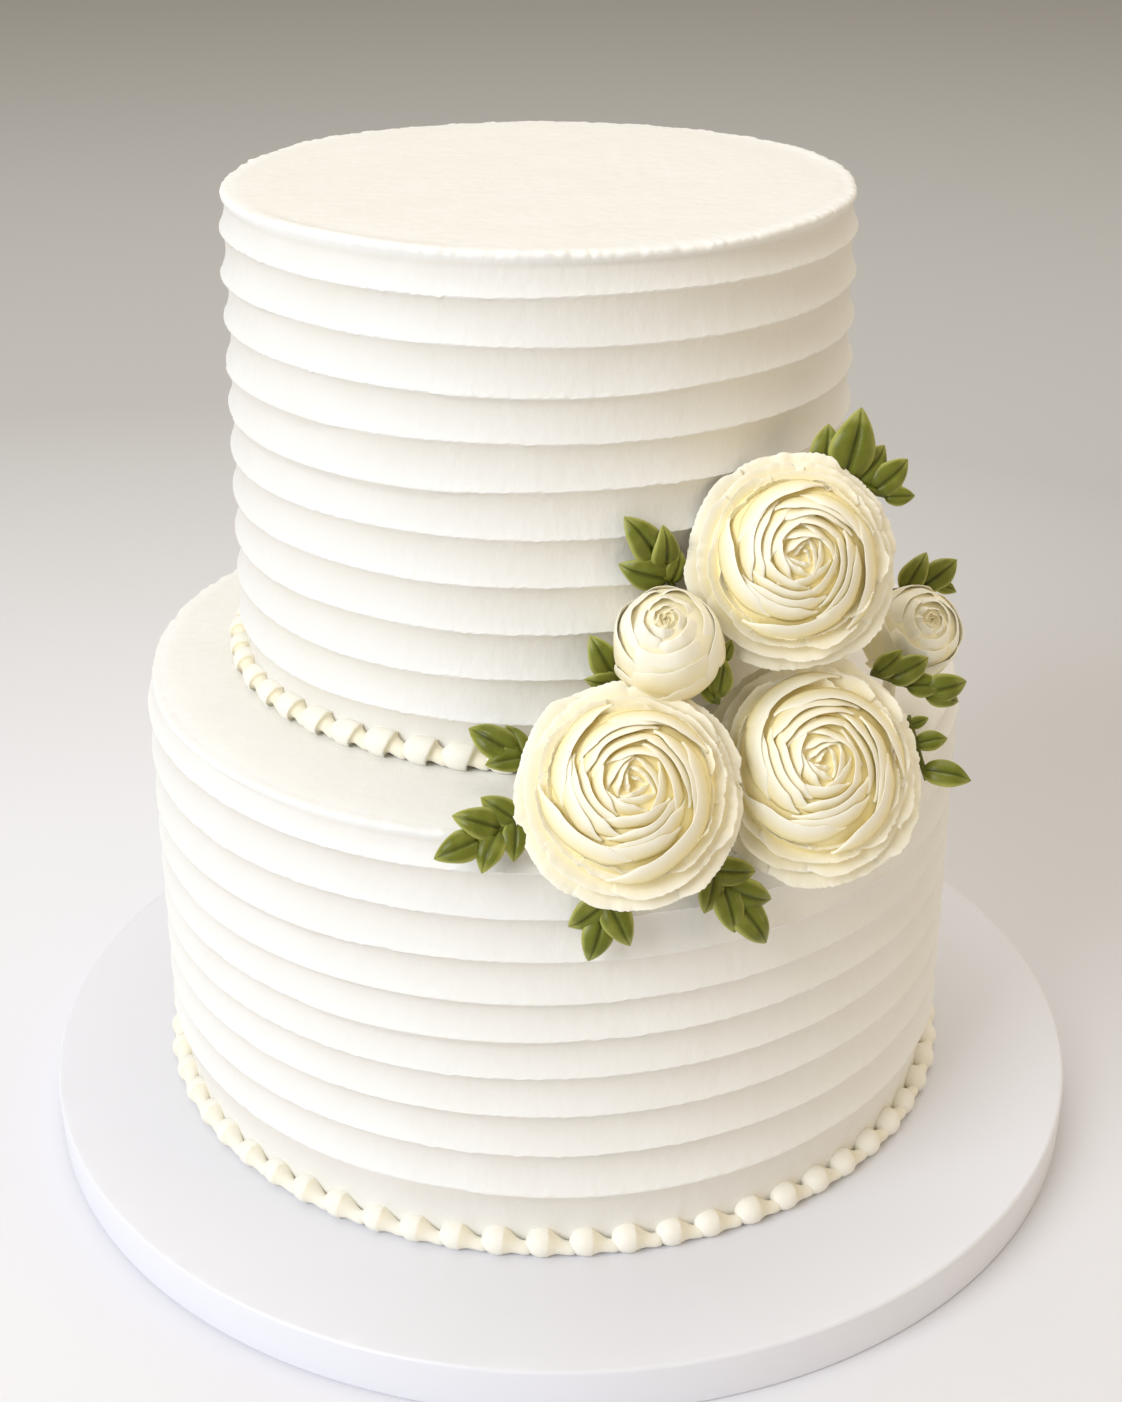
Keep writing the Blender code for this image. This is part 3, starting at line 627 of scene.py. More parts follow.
def closed_petal(place, radius, dome, edge_share, half_span, angle, random, sizes):
    """Wrapped petal: its free edge follows the dome and it falls away outwards.

    Across, the edge's radius is that of an arc, flattened to a chord near the middle,
    less a slope, so one end lies outside the petal before it. Along, the radius grows
    evenly and the height falls as a power of the distance from the edge. The ends
    narrow to a strip that lies low, under the petals beside it.
    """
    grid = (sizes.petal_columns, sizes.petal_rows, 7)
    across, along, turn, slow, ragged, _ = petal_grid(grid, half_span, angle, WRAPPED_LOBES, random)
    ragged = ragged * float(ease((edge_share - 0.30) / 0.3))
    chord = 0.36 - 0.30 * float(ease((edge_share - 0.05) / 0.35))
    skew = 0.014 + (0.10 + random.uniform(-0.02, 0.03)) * edge_share
    edge = edge_share * (1.0 + chord * (half_span * across) ** 2) - skew * across
    edge = edge + 0.007 * slow * (0.3 + edge_share) + 0.005 * ragged
    reach = 0.055 + 0.10 * edge_share
    narrow = 0.92 * ease((np.abs(across) - 0.50) / 0.50)
    part = edge + reach * ((1.0 - narrow) * along + 0.55 * narrow)
    drop = (2.0 + 3.6 * edge_share) * MM
    lift = (0.45 + 0.5 * edge_share + random.uniform(-0.2, 0.3)) * MM
    height = dome_height(np.clip(edge, 0.0, 1.0), dome) + lift
    height = height - drop * ((1.0 - narrow) * along ** 1.15 + 0.75 * narrow)
    height = height + (1.0 - along) ** 3 * (0.14 * slow + 0.10 * ragged) * MM
    thick = sizes.petal_thickness * (1.0 + 0.5 * along)
    # painted shade: the tone grows from the free edge down into the groove, and faster on the back
    return petal_shell(place, turn, part * radius, height, along, thick,
                       0.06 + 1.05 * along ** 1.5, 0.10 + 1.9 * along)


def open_petal(place, radius, whorl, half_span, angle, random, sizes):
    """Outer petal: a shallow cup that widens from its base to a frilled free edge.

    Along, the height runs from the base's to the edge's as a power, and fast waves
    grow towards the edge. Across, one end lies higher and further out.
    """
    edge_share, edge_height, base_share, base_height = whorl
    grid = (2 * sizes.petal_columns, sizes.petal_rows + 3, 8)
    across, along, turn, slow, ragged, seed = petal_grid(grid, half_span, angle, OPEN_LOBES, random)
    ripple = waves(turn, seed + 1, 14, 46, 0.3)
    tips = ease((np.abs(across) - 0.66) / 0.34)
    edge = edge_share + random.uniform(-0.012, 0.012) - 0.026 * across - 0.055 * tips
    edge = edge + 0.010 * slow + 0.012 * ragged + 0.003 * ripple
    part = edge - (edge - base_share) * along ** 1.1
    height = base_height + (edge_height - base_height) * (1.0 - along) ** 1.7
    height = height - 0.45 * (1.0 - along) ** 7 + random.uniform(-0.25, 0.25)
    height = height - 0.55 * across * (1.0 - 0.6 * along) - 0.5 * tips * (1.0 - along)
    height = height + (1.0 - along) ** 2 * (0.42 * slow + 0.09 * ripple) + (1.0 - along) ** 5 * 0.22 * ragged
    thick = sizes.petal_thickness * (0.9 + 0.9 * along)
    # painted shade: the tone grows from the free edge down towards the base, and more slowly on the back
    return petal_shell(place, turn, part * radius, height * MM, along, thick, 0.04 + 1.05 * along ** 1.1,
                       0.05 + 0.9 * along)


def placer(spec):
    """Function that carries turns, distances and heights on a flower to points on the cake.

    Lean carries the middle aside by one less the square of the share of the radius, and
    reach draws the upper side out by the sine of the turn.
    """
    right, up, out = axes_of(spec["facing"])
    centre = np.array(spec["centre"]) * MM
    radius = spec["radius"] * MM
    lean = spec["lean"][0] * right + spec["lean"][1] * up

    def place(turn, distance, height):
        distance = distance * (1.0 + spec["reach"] * np.maximum(0.0, np.sin(turn)))
        part = np.clip(distance / radius, 0.0, 1.2)
        aside = (1.0 - part ** 2)[..., None] * radius * lean
        flat = distance[..., None] * (np.cos(turn)[..., None] * right + np.sin(turn)[..., None] * up)
        return centre + flat + aside + height[..., None] * out

    return place


def foot_ring(spec, angles):
    """Ring of points where a flower's back meets the cake, square to its slant."""
    right, up, _ = axes_of(spec["facing"])
    foot = np.array(spec["foot"]) * MM
    axis = unit(foot - np.array(spec["centre"]) * MM)
    side = unit(np.cross(up, axis))
    side = -side if side @ right < 0.0 else side
    rise = np.cross(axis, side)
    rise = -rise if rise @ up < 0.0 else rise
    radius = spec["foot_radius"] * MM
    return foot + radius * (np.cos(angles)[:, None] * side + np.sin(angles)[:, None] * rise)


def core_part(spec, radii, heights, columns, tones):
    """Solid core under a flower's petals: rings down to where its back meets the cake.

    The four rings next to the cake have the second tone.
    """
    place = placer(spec)
    angles = np.linspace(0.0, TURN, columns, endpoint=False)
    rings = [place(angles, np.full(columns, radius), np.full(columns, height))
             for radius, height in zip(radii, heights)]
    grid = np.stack([*rings, foot_ring(spec, angles)])
    tone = np.full(grid.shape[:2], tones[0])
    tone[-4:] = tones[1]
    return skin(grid, tone)


def flower_parts(spec, sizes):
    """A flower: whorls of petals over a solid core that tapers back to the cake.

    Wrapped petals follow a spiral whose edge radius grows faster as it goes out.
    """
    place = placer(spec)
    radius = spec["radius"] * MM
    dome = sizes.dome
    random = np.random.default_rng(spec["seed"])
    parts = []
    turn = spec["turn"]
    edge = WRAPPED_FROM
    while edge < WRAPPED_TO:
        number = 3.0 + 2.9 * edge
        parts.append(closed_petal(place, radius, dome, edge, 3.9 / number, turn, random, sizes))
        turn += TURN / number * random.uniform(0.97, 1.07)
        edge += (0.055 + 0.075 * edge) / number * random.uniform(0.85, 1.15)
    for whorl in OPEN_WHORLS:
        turn += 0.62
        for k in range(OPEN_PETALS):
            angle = turn + TURN * k / OPEN_PETALS + random.uniform(-0.10, 0.10)
            parts.append(open_petal(place, radius, whorl, 0.70, angle, random, sizes))
    front = np.array(CORE_FRONT)
    back = np.array(CORE_BACK)
    radii = np.concatenate([front, back[:, 0]]) * radius
    heights = np.concatenate([dome_height(front, dome) - (1.1 + 0.9 * front) * MM, back[:, 1] * MM])
    parts.append(core_part(spec, radii, heights, CORE_COLUMNS, CORE_TONES))
    return parts


# whorls of a bud: edge radius over the bud's, edge height in millimetres, number of
# petals, half span in radians, widest radius
BUD_WHORLS = (
    (0.05, 9.9, 3, 1.30, 0.20), (0.13, 10.3, 3, 1.30, 0.34), (0.24, 10.3, 3, 1.30, 0.55),
    (0.42, 9.5, 3, 1.40, 0.82), (0.66, 7.9, 3, 1.35, 0.98), (0.90, 5.0, 4, 1.05, 1.01),
    (1.0, -1.0, 5, 0.72, 1.04),
)
# radius that the heights in a bud are given for, and its core's heights in millimetres
# and radii over the bud's, down to the stalk
BUD_REFERENCE = 11.2
BUD_CORE = ((9.0, 0.05), (9.3, 0.16), (9.1, 0.28), (8.4, 0.42), (7.3, 0.63), (5.2, 0.85), (2.2, 0.935),
            (-1.5, 0.97), (-5.5, 0.72), (-8.8, 0.40))
BUD_STALK = -11.5
BUD_CORE_COLUMNS = 32
# bud core tones are painted shade where the core shows between the petals
BUD_CORE_TONES = (0.45, 0.3)


def bud_petal(place, radius, scale, whorl, angle, random, sizes):
    """Cupped petal of a bud, from its free edge out to its widest and in again at its base.

    The radius swells as a quarter sine and the height falls as a power of the
    distance from the edge, which is lower at its ends and higher near its middle.
    """
    edge_share, top, _, half_span, wide = whorl
    grid = (sizes.petal_columns + 6, sizes.petal_rows + 4, 7)
    across, along, turn, slow, ragged, _ = petal_grid(grid, half_span, angle, BUD_LOBES, random)
    tips = ease((np.abs(across) - 0.55) / 0.45)
    edge = edge_share * (1.0 + random.uniform(-0.04, 0.04)) - (0.02 + 0.028 * edge_share) * across
    edge = edge + 0.012 * slow * edge_share + 0.008 * ragged
    swell = np.sin(np.clip(along * 1.5, 0.0, 1.0) * math.pi / 2.0)
    tuck = 1.0 - 0.40 * ease((along - 0.60) / 0.40)
    part = (edge + np.maximum(wide - 0.025 * across - edge, 0.0) * swell) * tuck
    height = top - along ** 1.2 * (top + 9.5) - (1.4 + 1.6 * edge_share) * tips * (1.0 - along) ** 0.7
    height = height + (1.0 - along) ** 3 * (0.30 * slow + 0.16 * ragged)
    height = height + 1.3 * edge_share * bump_at(across, 0.1, 0.30) * (1.0 - along) ** 2
    # painted shade: the tone grows from the free edge towards the base, faster on the back, and the
    # innermost petals sit deeper in it
    inner = 0.35 * (edge_share < 0.2)
    return petal_shell(place, turn, part * radius, height * MM * scale, along, sizes.petal_thickness * 1.4,
                       inner + 0.05 + 0.55 * along ** 1.6, inner + 0.08 + 1.1 * along)


def bud_parts(spec, sizes):
    """A bud: cupped petals wrapped round each other, on a core that thins into a stalk."""
    place = placer(spec)
    scale = spec["radius"] / BUD_REFERENCE
    radius = spec["radius"] * MM
    random = np.random.default_rng(spec["seed"])
    parts = []
    turn = spec["turn"]
    for whorl in BUD_WHORLS:
        turn += 2.2 / whorl[2] + 0.6
        for k in range(whorl[2]):
            angle = turn + TURN * k / whorl[2] + random.uniform(-0.12, 0.12)
            parts.append(bud_petal(place, radius, scale, whorl, angle, random, sizes))
    core = np.array([*BUD_CORE, (BUD_STALK, spec["foot_radius"] / spec["radius"])])
    heights = core[:, 0] * MM * scale
    parts.append(core_part(spec, core[:, 1] * radius, heights, BUD_CORE_COLUMNS, BUD_CORE_TONES))
    return parts


# Facing, base, heading in degrees clockwise from up, length of the stem, how far it bows,
# and its leaves, with lengths in millimetres. A leaf is its share of the way along the
# stem, the degrees that it turns from the heading, and its length.
SPRIGS = {
    "leaves_top_right": (
        (6.0, 24.0), (55.5, -55.8, 192.5), 112.0, 17.0, 2.0,
        ((0.08, -105.0, 11.0), (0.36, -98.0, 16.5), (0.50, -66.0, 11.5), (0.76, -58.0, 11.0),
         (0.96, -20.0, 7.0))),
    "leaves_right": (
        (10.0, 25.0), (77.3, -39.1, 156.7), 83.0, 10.7, 0.0,
        ((0.25, -52.0, 10.5), (0.66, -26.0, 11.0), (0.95, 30.0, 6.0))),
    "leaves_bud_right": (
        (15.0, 20.0), (70.0, -60.6, 146.3), 115.0, 15.0, 0.0,
        ((0.06, -58.0, 8.5), (0.30, -48.0, 10.5), (0.62, -18.0, 9.0), (0.94, -4.0, 9.0),
         (0.92, -34.0, 10.5))),
    "leaves_far_right": (
        (9.0, 37.0), (77.6, -67.0, 138.5), 170.0, 15.0, 0.0,
        ((0.14, -95.0, 5.0), (0.44, -86.0, 8.0), (0.86, -62.0, 11.0))),
    "leaves_wall": (
        (17.0, 4.0), (26.7, -68.6, 165.9), -28.0, 13.8, 0.0,
        ((0.95, -5.0, 12.8), (0.74, 25.0, 11.0), (0.50, 42.0, 8.0), (0.58, -40.0, 12.0),
         (0.24, -55.0, 9.0))),
    "leaves_bud_left": (
        (8.0, 10.0), (15.5, -76.0, 148.8), -45.0, 6.2, 0.0,
        ((0.95, 17.0, 11.0), (0.60, -38.0, 8.5), (0.40, 40.0, 7.0))),
    "leaves_middle": (
        (0.0, 30.0), (33.2, -84.0, 149.9), 10.0, 10.7, 0.0,
        ((0.15, -3.0, 9.0), (0.05, -38.0, 7.0), (0.90, 10.0, 5.0))),
    "leaves_left_upper": (
        (-4.0, 45.0), (-6.8, -82.5, 135.7), -73.0, 5.6, 0.0,
        ((0.50, 6.0, 12.7), (0.30, 46.0, 8.6), (0.25, -34.0, 9.0))),
    "leaves_left_lower": (
        (1.5, 37.0), (-6.6, -98.8, 131.2), -116.0, 12.0, 0.0,
        ((0.96, 2.0, 11.2), (0.58, 43.0, 11.0), (0.60, -39.0, 10.4), (0.26, 61.0, 9.5),
         (0.28, -60.0, 9.0))),
    "leaves_bottom_left": (
        (2.0, 12.0), (10.3, -101.8, 113.3), -164.0, 5.6, 0.0,
        ((0.90, 0.0, 11.2), (0.22, 39.0, 11.0), (0.28, -45.0, 11.4))),
    "leaves_bottom_right": (
        (20.0, 14.0), (31.2, -97.2, 118.3), 149.0, 12.0, 0.0,
        ((0.91, 1.0, 13.2), (0.57, -33.0, 12.2), (0.50, 25.0, 11.8), (0.17, -50.0, 10.4),
         (0.24, 51.0, 9.6))),
}


# seed of the first sprig, and the grid steps of a leaf and of a stem
FIRST_SPRIG_SEED = 40
LEAF_ROWS = 18
LEAF_COLUMNS = 17
STEM_STEPS = 10


def leaf_part(base, along, across, out, size, sizes, random):
    """One leaf: two convex lobes either side of a creased vein, over a shallow underside.

    Its half width is a power of the distance from the base times one of the distance
    from the tip, and the lobes rise as a half circle across it, less a bell curve at
    the vein.
    """
    v = np.linspace(0.0, 1.0, LEAF_ROWS)[:, None]
    u = np.sin(np.linspace(-1.0, 1.0, LEAF_COLUMNS) * math.pi / 2.0)[None, :]
    body = v ** 0.60 * (1.0 - v) ** 0.88 / 0.368
    half = 0.5 * sizes.leaf_ratio * size * (0.03 + 0.99 * body) * random.uniform(0.95, 1.08)
    half = half * (1.0 + 0.03 * np.sin(9.0 * v + random.uniform(0.0, 6.0)))
    plump = np.clip(body * 1.15, 0.0, 1.0)
    dome = np.sqrt(np.clip(1.0 - u ** 2, 0.0, 1.0)) ** 1.1
    crease = 1.0 - 0.72 * np.exp(-(u / 0.14) ** 2)
    lift = sizes.leaf_rise * (size / 0.011) * plump * dome * crease
    arch = 0.09 * size * 4.0 * v * (1.0 - v) - 0.05 * size * ease((v - 0.75) / 0.25)
    bend = random.uniform(-0.05, 0.05) * size * v ** 2
    middle = base + (v * size)[..., None] * along + (arch + 0.0 * u)[..., None] * out
    middle = middle + (half * u + bend)[..., None] * across
    top = middle + lift[..., None] * out
    under = middle - (0.32 * lift * (1.0 - 0.3 * dome) + 0.05 * MM)[..., None] * out
    vein = 0.6 * np.exp(-(u / 0.10) ** 2)
    rim = ease((np.abs(u) - 0.72) / 0.28)
    # the dark at the vein is painted shade in its crease; the tone is also lighter at the border and tip and
    # darker towards the base
    tone = 0.5 + 0.45 * rim + 0.30 * ease((v - 0.72) / 0.28) - 0.45 * vein - 0.25 * (1.0 - ease(v / 0.25))
    tone = np.clip(tone, 0.0, 1.0)
    return shell(top, under, tone, tone)


def stem_part(start, end, radius, bow):
    """Round stem carried along a bowed line, thinner at its far end."""
    steps = np.linspace(0.0, 1.0, STEM_STEPS)
    line = start + steps[:, None] * (end - start) + (4.0 * steps * (1.0 - steps))[:, None] * bow
    heading = unit(np.gradient(line, axis=0))
    side = unit(np.cross(heading, np.array([0.13, 0.21, 1.0])))
    rise = np.cross(side, heading)
    angles = np.linspace(0.0, TURN, STEM_STEPS, endpoint=False)
    thick = radius * (1.0 - 0.30 * steps)
    ring = np.cos(angles)[None, :, None] * side[:, None] + np.sin(angles)[None, :, None] * rise[:, None]
    return skin(line[:, None] + thick[:, None, None] * ring, np.full((STEM_STEPS, STEM_STEPS), 0.30))


def sprig_parts(spec, sizes, seed):
    """A stem with leaves that turn away from it, each tilted and rolled a little."""
    facing, base, heading, stem, bow, leaves = spec
    random = np.random.default_rng(seed)
    right, up, out = axes_of(facing)
    base = np.array(base) * MM
    heading = math.radians(heading)
    along = math.sin(heading) * right + math.cos(heading) * up
    end = base + stem * MM * along
    parts = [stem_part(base, end, sizes.stem_radius, bow * MM * out)]
    for step, turn, size in leaves:
        angle = heading + math.radians(turn)
        tilt = math.radians(6.0 + random.uniform(-7.0, 7.0))
        flat = math.sin(angle) * right + math.cos(angle) * up
        direction = math.cos(tilt) * flat + math.sin(tilt) * out
        across = np.cross(flat, out)
        roll = random.uniform(-0.22, 0.22)
        across = unit(across + roll * out)
        normal = np.cross(across, direction)
        normal = -normal if normal @ out < 0.0 else normal
        start = base + step * (end - base) - 0.5 * sizes.stem_radius * direction
        parts.append(leaf_part(start, direction, across, unit(normal), size * MM, sizes, random))
    return parts


COLOUR = "NodeSocketColor"
NUMBER = "NodeSocketFloat"


def add_group(name, inputs, outputs):
    """Start a shader node group with named sockets."""
    group = bpy.data.node_groups.new(name, "ShaderNodeTree")
    for label, kind in inputs.items():
        group.interface.new_socket(label, in_out="INPUT", socket_type=kind)
    for label, kind in outputs.items():
        group.interface.new_socket(label, in_out="OUTPUT", socket_type=kind)
    return group, group.nodes.new("NodeGroupInput").outputs, group.nodes.new("NodeGroupOutput").inputs


def feed(tree, socket, value):
    """Give a socket a link from another socket, or a plain value."""
    if isinstance(value, bpy.types.NodeSocket):
        tree.links.new(value, socket)
    else:
        socket.default_value = value


def add_node(tree, kind, values, **settings):
    """Place a node with its settings and feed its inputs by name or by number."""
    node = tree.nodes.new(kind)
    for label, setting in settings.items():
        setattr(node, label, setting)
    for label, value in values.items():
        feed(tree, node.inputs[label], value)
    return node


def object_place(tree):
    """Place on the piece, in metres."""
    return tree.nodes.new("ShaderNodeTexCoord").outputs["Object"]


def noise(tree, vector, scale, detail, roughness):
    """A noise texture at a scale per metre."""
    values = {"Vector": vector, "Scale": scale, "Detail": detail, "Roughness": roughness}
    return add_node(tree, "ShaderNodeTexNoise", values).outputs["Fac"]


def ramp(tree, value, low, high, low_to=0.0, high_to=1.0):
    """Carry a value from one range to another, held to its ends."""
    values = {"Value": value, "From Min": low, "From Max": high, "To Min": low_to, "To Max": high_to}
    return add_node(tree, "ShaderNodeMapRange", values).outputs["Result"]


def maths(tree, operation, first, second):
    """One sum of two values, each a socket or a number."""
    return add_node(tree, "ShaderNodeMath", {0: first, 1: second}, operation=operation).outputs[0]


def blend(tree, part, first, second):
    """Mix two colours by a value."""
    return add_node(tree, "ShaderNodeMix", {0: part, 6: first, 7: second}, data_type="RGBA").outputs[2]


def opaque(tint):
    """A colour with full alpha."""
    return (*tint, 1.0)


def tone_group():
    """Two colours mixed by the piece's tone attribute and a soft noise."""
    sockets = {"Light": COLOUR, "Deep": COLOUR, "Cloud Scale": NUMBER, "Cloud": NUMBER}
    group, given, result = add_group("soft_tone", sockets, {"Color": COLOUR, "Tone": NUMBER})
    tone = add_node(group, "ShaderNodeAttribute", {}, attribute_name="tone").outputs["Fac"]
    clouds = noise(group, object_place(group), given["Cloud Scale"], 1.0, 0.5)
    drift = maths(group, "MULTIPLY", maths(group, "SUBTRACT", clouds, 0.5), given["Cloud"])
    held = ramp(group, maths(group, "ADD", tone, drift), 0.0, 1.0)
    feed(group, result["Color"], blend(group, held, given["Light"], given["Deep"]))
    feed(group, result["Tone"], held)
    return group


def smear_group():
    """Spatula marks: the height of long smears and a fine grain, and where they are dull."""
    sockets = {"Smear": NUMBER, "Grain": NUMBER}
    group, given, result = add_group("icing_smear", sockets, {"Height": NUMBER, "Dull": NUMBER})
    place = object_place(group)
    drawn = add_node(group, "ShaderNodeMapping", {"Vector": place, "Scale": (1.0, 1.0, 0.45)})
    smear = noise(group, drawn.outputs["Vector"], 330.0, 2.0, 0.55)
    grain = noise(group, place, 1500.0, 1.0, 0.6)
    smears = maths(group, "MULTIPLY", smear, given["Smear"])
    grains = maths(group, "MULTIPLY", grain, given["Grain"])
    feed(group, result["Height"], maths(group, "ADD", smears, grains))
    feed(group, result["Dull"], ramp(group, smear, 0.3, 0.7))
    return group


def start_material(name):
    """New material with its node tree and shader."""
    material = bpy.data.materials.new(name)
    material.use_nodes = True
    tree = material.node_tree
    return material, tree, tree.nodes["Principled BSDF"]


def add_tone(tree, groups, **values):
    """Place the tone group with its own values."""
    named = {label.replace("_", " "): value for label, value in values.items()}
    return add_node(tree, "ShaderNodeGroup", named, node_tree=groups["tone"]).outputs


def add_marks(tree, shader, groups, smear, grain, depth, rough):
    """Put spatula marks on a shader: a bump so deep, and a roughness between two values."""
    given = {"Smear": smear, "Grain": grain}
    marks = add_node(tree, "ShaderNodeGroup", given, node_tree=groups["smear"]).outputs
    values = {"Strength": 1.0, "Distance": depth, "Height": marks["Height"]}
    feed(tree, shader.inputs["Normal"], add_node(tree, "ShaderNodeBump", values).outputs["Normal"])
    feed(tree, shader.inputs["Roughness"], ramp(tree, marks["Dull"], 0.0, 1.0, *rough))


def cream_material(groups, name, light, deep, cloud, smear, grain):
    """Buttercream: a soft off-white that is warmer where its tone is deep, as painted shade under lips and
    in creases and grooves, with faint smears.
    """
    material, tree, shader = start_material(name)
    tone = add_tone(tree, groups, Light=opaque(light), Deep=opaque(deep), Cloud_Scale=70.0, Cloud=cloud)
    feed(tree, shader.inputs["Base Color"], tone["Color"])
    add_marks(tree, shader, groups, smear, grain, 0.5 * MM, (0.46, 0.60))
    shader.inputs["Specular IOR Level"].default_value = 0.35
    return material


def leaf_material(groups, colours):
    """Leaf: olive body with lighter border and tip and a dark vein of painted crease shade, slightly satin.
    """
    material, tree, shader = start_material("leaf_green")
    tone = add_tone(tree, groups, Cloud_Scale=260.0, Cloud=0.35)["Tone"]
    curve = add_node(tree, "ShaderNodeValToRGB", {"Fac": tone})
    curve.color_ramp.elements[0].color = opaque(colours.leaf_dark)
    curve.color_ramp.elements[1].color = opaque(colours.leaf_light)
    curve.color_ramp.elements.new(0.5).color = opaque(colours.leaf)
    feed(tree, shader.inputs["Base Color"], curve.outputs["Color"])
    add_marks(tree, shader, groups, 0.5, 0.2, 0.25 * MM, (0.24, 0.38))
    shader.inputs["Specular IOR Level"].default_value = 0.25
    return material


def board_material(groups, colours):
    """Board: satin white paper over card, faintly cloudy."""
    material, tree, shader = start_material("board_white")
    light = opaque(min(1.0, 1.02 * part) for part in colours.board)
    deep = opaque(0.96 * part for part in colours.board)
    tone = add_tone(tree, groups, Light=light, Deep=deep, Cloud_Scale=14.0, Cloud=0.8)
    feed(tree, shader.inputs["Base Color"], tone["Color"])
    add_marks(tree, shader, groups, 0.02, 0.05, 0.2 * MM, (0.34, 0.40))
    return material


# where the painted pool of light on the floor is palest, as a shift back to the middle, and how far from
# there it starts and ends to darken
FLOOR_LIGHT_POOL_SHIFT = (0.14, 0.05, 0.0)
FLOOR_LIGHT_POOL_RANGE = (0.18, 0.65)


def floor_material(colours):
    """Floor: a painted pool of light, pale in front on the left where the key lamp falls and darker far off
    towards the far backdrop's own grey, with no gloss.
    """
    material, tree, shader = start_material("pale_floor")
    moved = add_node(tree, "ShaderNodeVectorMath", {0: object_place(tree), 1: FLOOR_LIGHT_POOL_SHIFT})
    far = add_node(tree, "ShaderNodeVectorMath", {0: moved.outputs["Vector"]}, operation="LENGTH")
    part = ramp(tree, far.outputs["Value"], *FLOOR_LIGHT_POOL_RANGE)
    tint = blend(tree, part, opaque(colours.floor), opaque(colours.floor_far))
    feed(tree, shader.inputs["Base Color"], tint)
    shader.inputs["Roughness"].default_value = 0.9
    return material


MADE = {}


def finishes():
    """Make the shared node groups and materials once."""
    if MADE:
        return MADE
    colours = bpy.context.scene.cake_colours
    groups = {"tone": tone_group(), "smear": smear_group()}
    # finish, material, light colour and painted shade colour, and the strength of clouds, smears and grain
    creams = (("icing", "buttercream", colours.icing_light, colours.icing, 0.35, 0.45, 0.06),
              ("border", "border_cream", colours.border, colours.border_crease_shade, 0.15, 0.20, 0.04),
              ("petal", "petal_cream", colours.petal, colours.petal_groove_shade, 0.20, 0.25, 0.05))
    for finish, *values in creams:
        MADE[finish] = cream_material(groups, *values)
    MADE["leaf"] = leaf_material(groups, colours)
    MADE["board"] = board_material(groups, colours)
    MADE["floor"] = floor_material(colours)
    return MADE


class CAKE_OT_board(bpy.types.Operator):
    """Build the board"""
    bl_idname = "cake.board"
    bl_label = "Board"

    def execute(self, context):
        cover = board_part(context.scene.cake_sizes)
        make_piece("board_cover", [cover], ["board"], finishes()["board"])
        return {"FINISHED"}


class CAKE_OT_tiers(bpy.types.Operator):
    """Build the icing of both tiers"""
    bl_idname = "cake.tiers"
    bl_label = "Tiers"

    def execute(self, context):
        sizes = context.scene.cake_sizes
        icing = finishes()["icing"]
        make_piece("lower_icing", [tier_part(lower_spec(sizes))], ["lower_tier"], icing)
        make_piece("upper_icing", [tier_part(upper_spec(sizes))], ["upper_tier"], icing)
        return {"FINISHED"}


class CAKE_OT_borders(bpy.types.Operator):
    """Pipe the beads and the shells"""
    bl_idname = "cake.borders"
    bl_label = "Borders"

    def execute(self, context):
        sizes = context.scene.cake_sizes
        cream = finishes()["border"]
        beads = piped_parts(centre_of(LOWER_LOW, LOWER_HIGH), sizes.bead_ring, sizes.bead_count,
                            sizes.bead_radius, BOARD_HIGH.z, BEAD)
        make_piece("bead_border", beads, ["lower_border"], cream)
        shells = piped_parts(centre_of(UPPER_LOW, UPPER_HIGH), sizes.shell_ring, sizes.shell_count,
                             sizes.shell_radius, LOWER_HIGH.z, SHELL)
        make_piece("shell_border", shells, ["upper_border"], cream)
        return {"FINISHED"}


class CAKE_OT_flowers(bpy.types.Operator):
    """Build the flowers and the buds"""
    bl_idname = "cake.flowers"
    bl_label = "Flowers"

    def execute(self, context):
        sizes = context.scene.flower_sizes
        cream = finishes()["petal"]
        for table, make_parts in ((FLOWERS, flower_parts), (BUDS, bud_parts)):
            for node, spec in table.items():
                make_piece(node + "_petals", make_parts(spec, sizes), [node], cream)
        return {"FINISHED"}


class CAKE_OT_leaves(bpy.types.Operator):
    """Build the leaf sprigs"""
    bl_idname = "cake.leaves"
    bl_label = "Leaves"

    def execute(self, context):
        sizes = context.scene.flower_sizes
        green = finishes()["leaf"]
        for seed, (node, spec) in enumerate(SPRIGS.items(), FIRST_SPRIG_SEED):
            make_piece(node + "_sprig", sprig_parts(spec, sizes, seed), [node], green)
        return {"FINISHED"}


# lamps: place, side of the square, power in watts and tint
LAMPS = {
    "key": ((-1.35, -1.25, 1.25), 1.3, 35.0, (0.915, 0.955, 1.0)),
    "top": ((0.1, 0.5, 1.9), 1.6, 17.0, (1.0, 0.965, 0.92)),
    "side": ((1.7, -0.6, 0.6), 1.0, 6.0, (1.0, 0.78, 0.48)),
}
LAMP_AIM = (0.0, 0.0, 0.12)
ROOM_TINT = (1.0, 0.89, 0.71)
ROOM_STRENGTH = 0.41
FLOOR_REACH = 8.0
# the camera's place, its turn up from straight down in degrees and its focal length over
# a frame 36 mm high
CAMERA_PLACE = (0.0, -0.4636, 0.3379)
CAMERA_PITCH = 63.7385
CAMERA_LENS = 50.84
CAMERA_FRAME = 36.0


def add_floor():
    """Level square that the cake stands on."""
    mesh = bpy.data.meshes.new("floor")
    corners = [(x * FLOOR_REACH, y * FLOOR_REACH, 0.0) for x, y in ((-1, -1), (1, -1), (1, 1), (-1, 1))]
    mesh.from_pydata(corners, [], [(0, 1, 2, 3)])
    mesh.materials.append(finishes()["floor"])
    floor = link_object("floor", mesh)


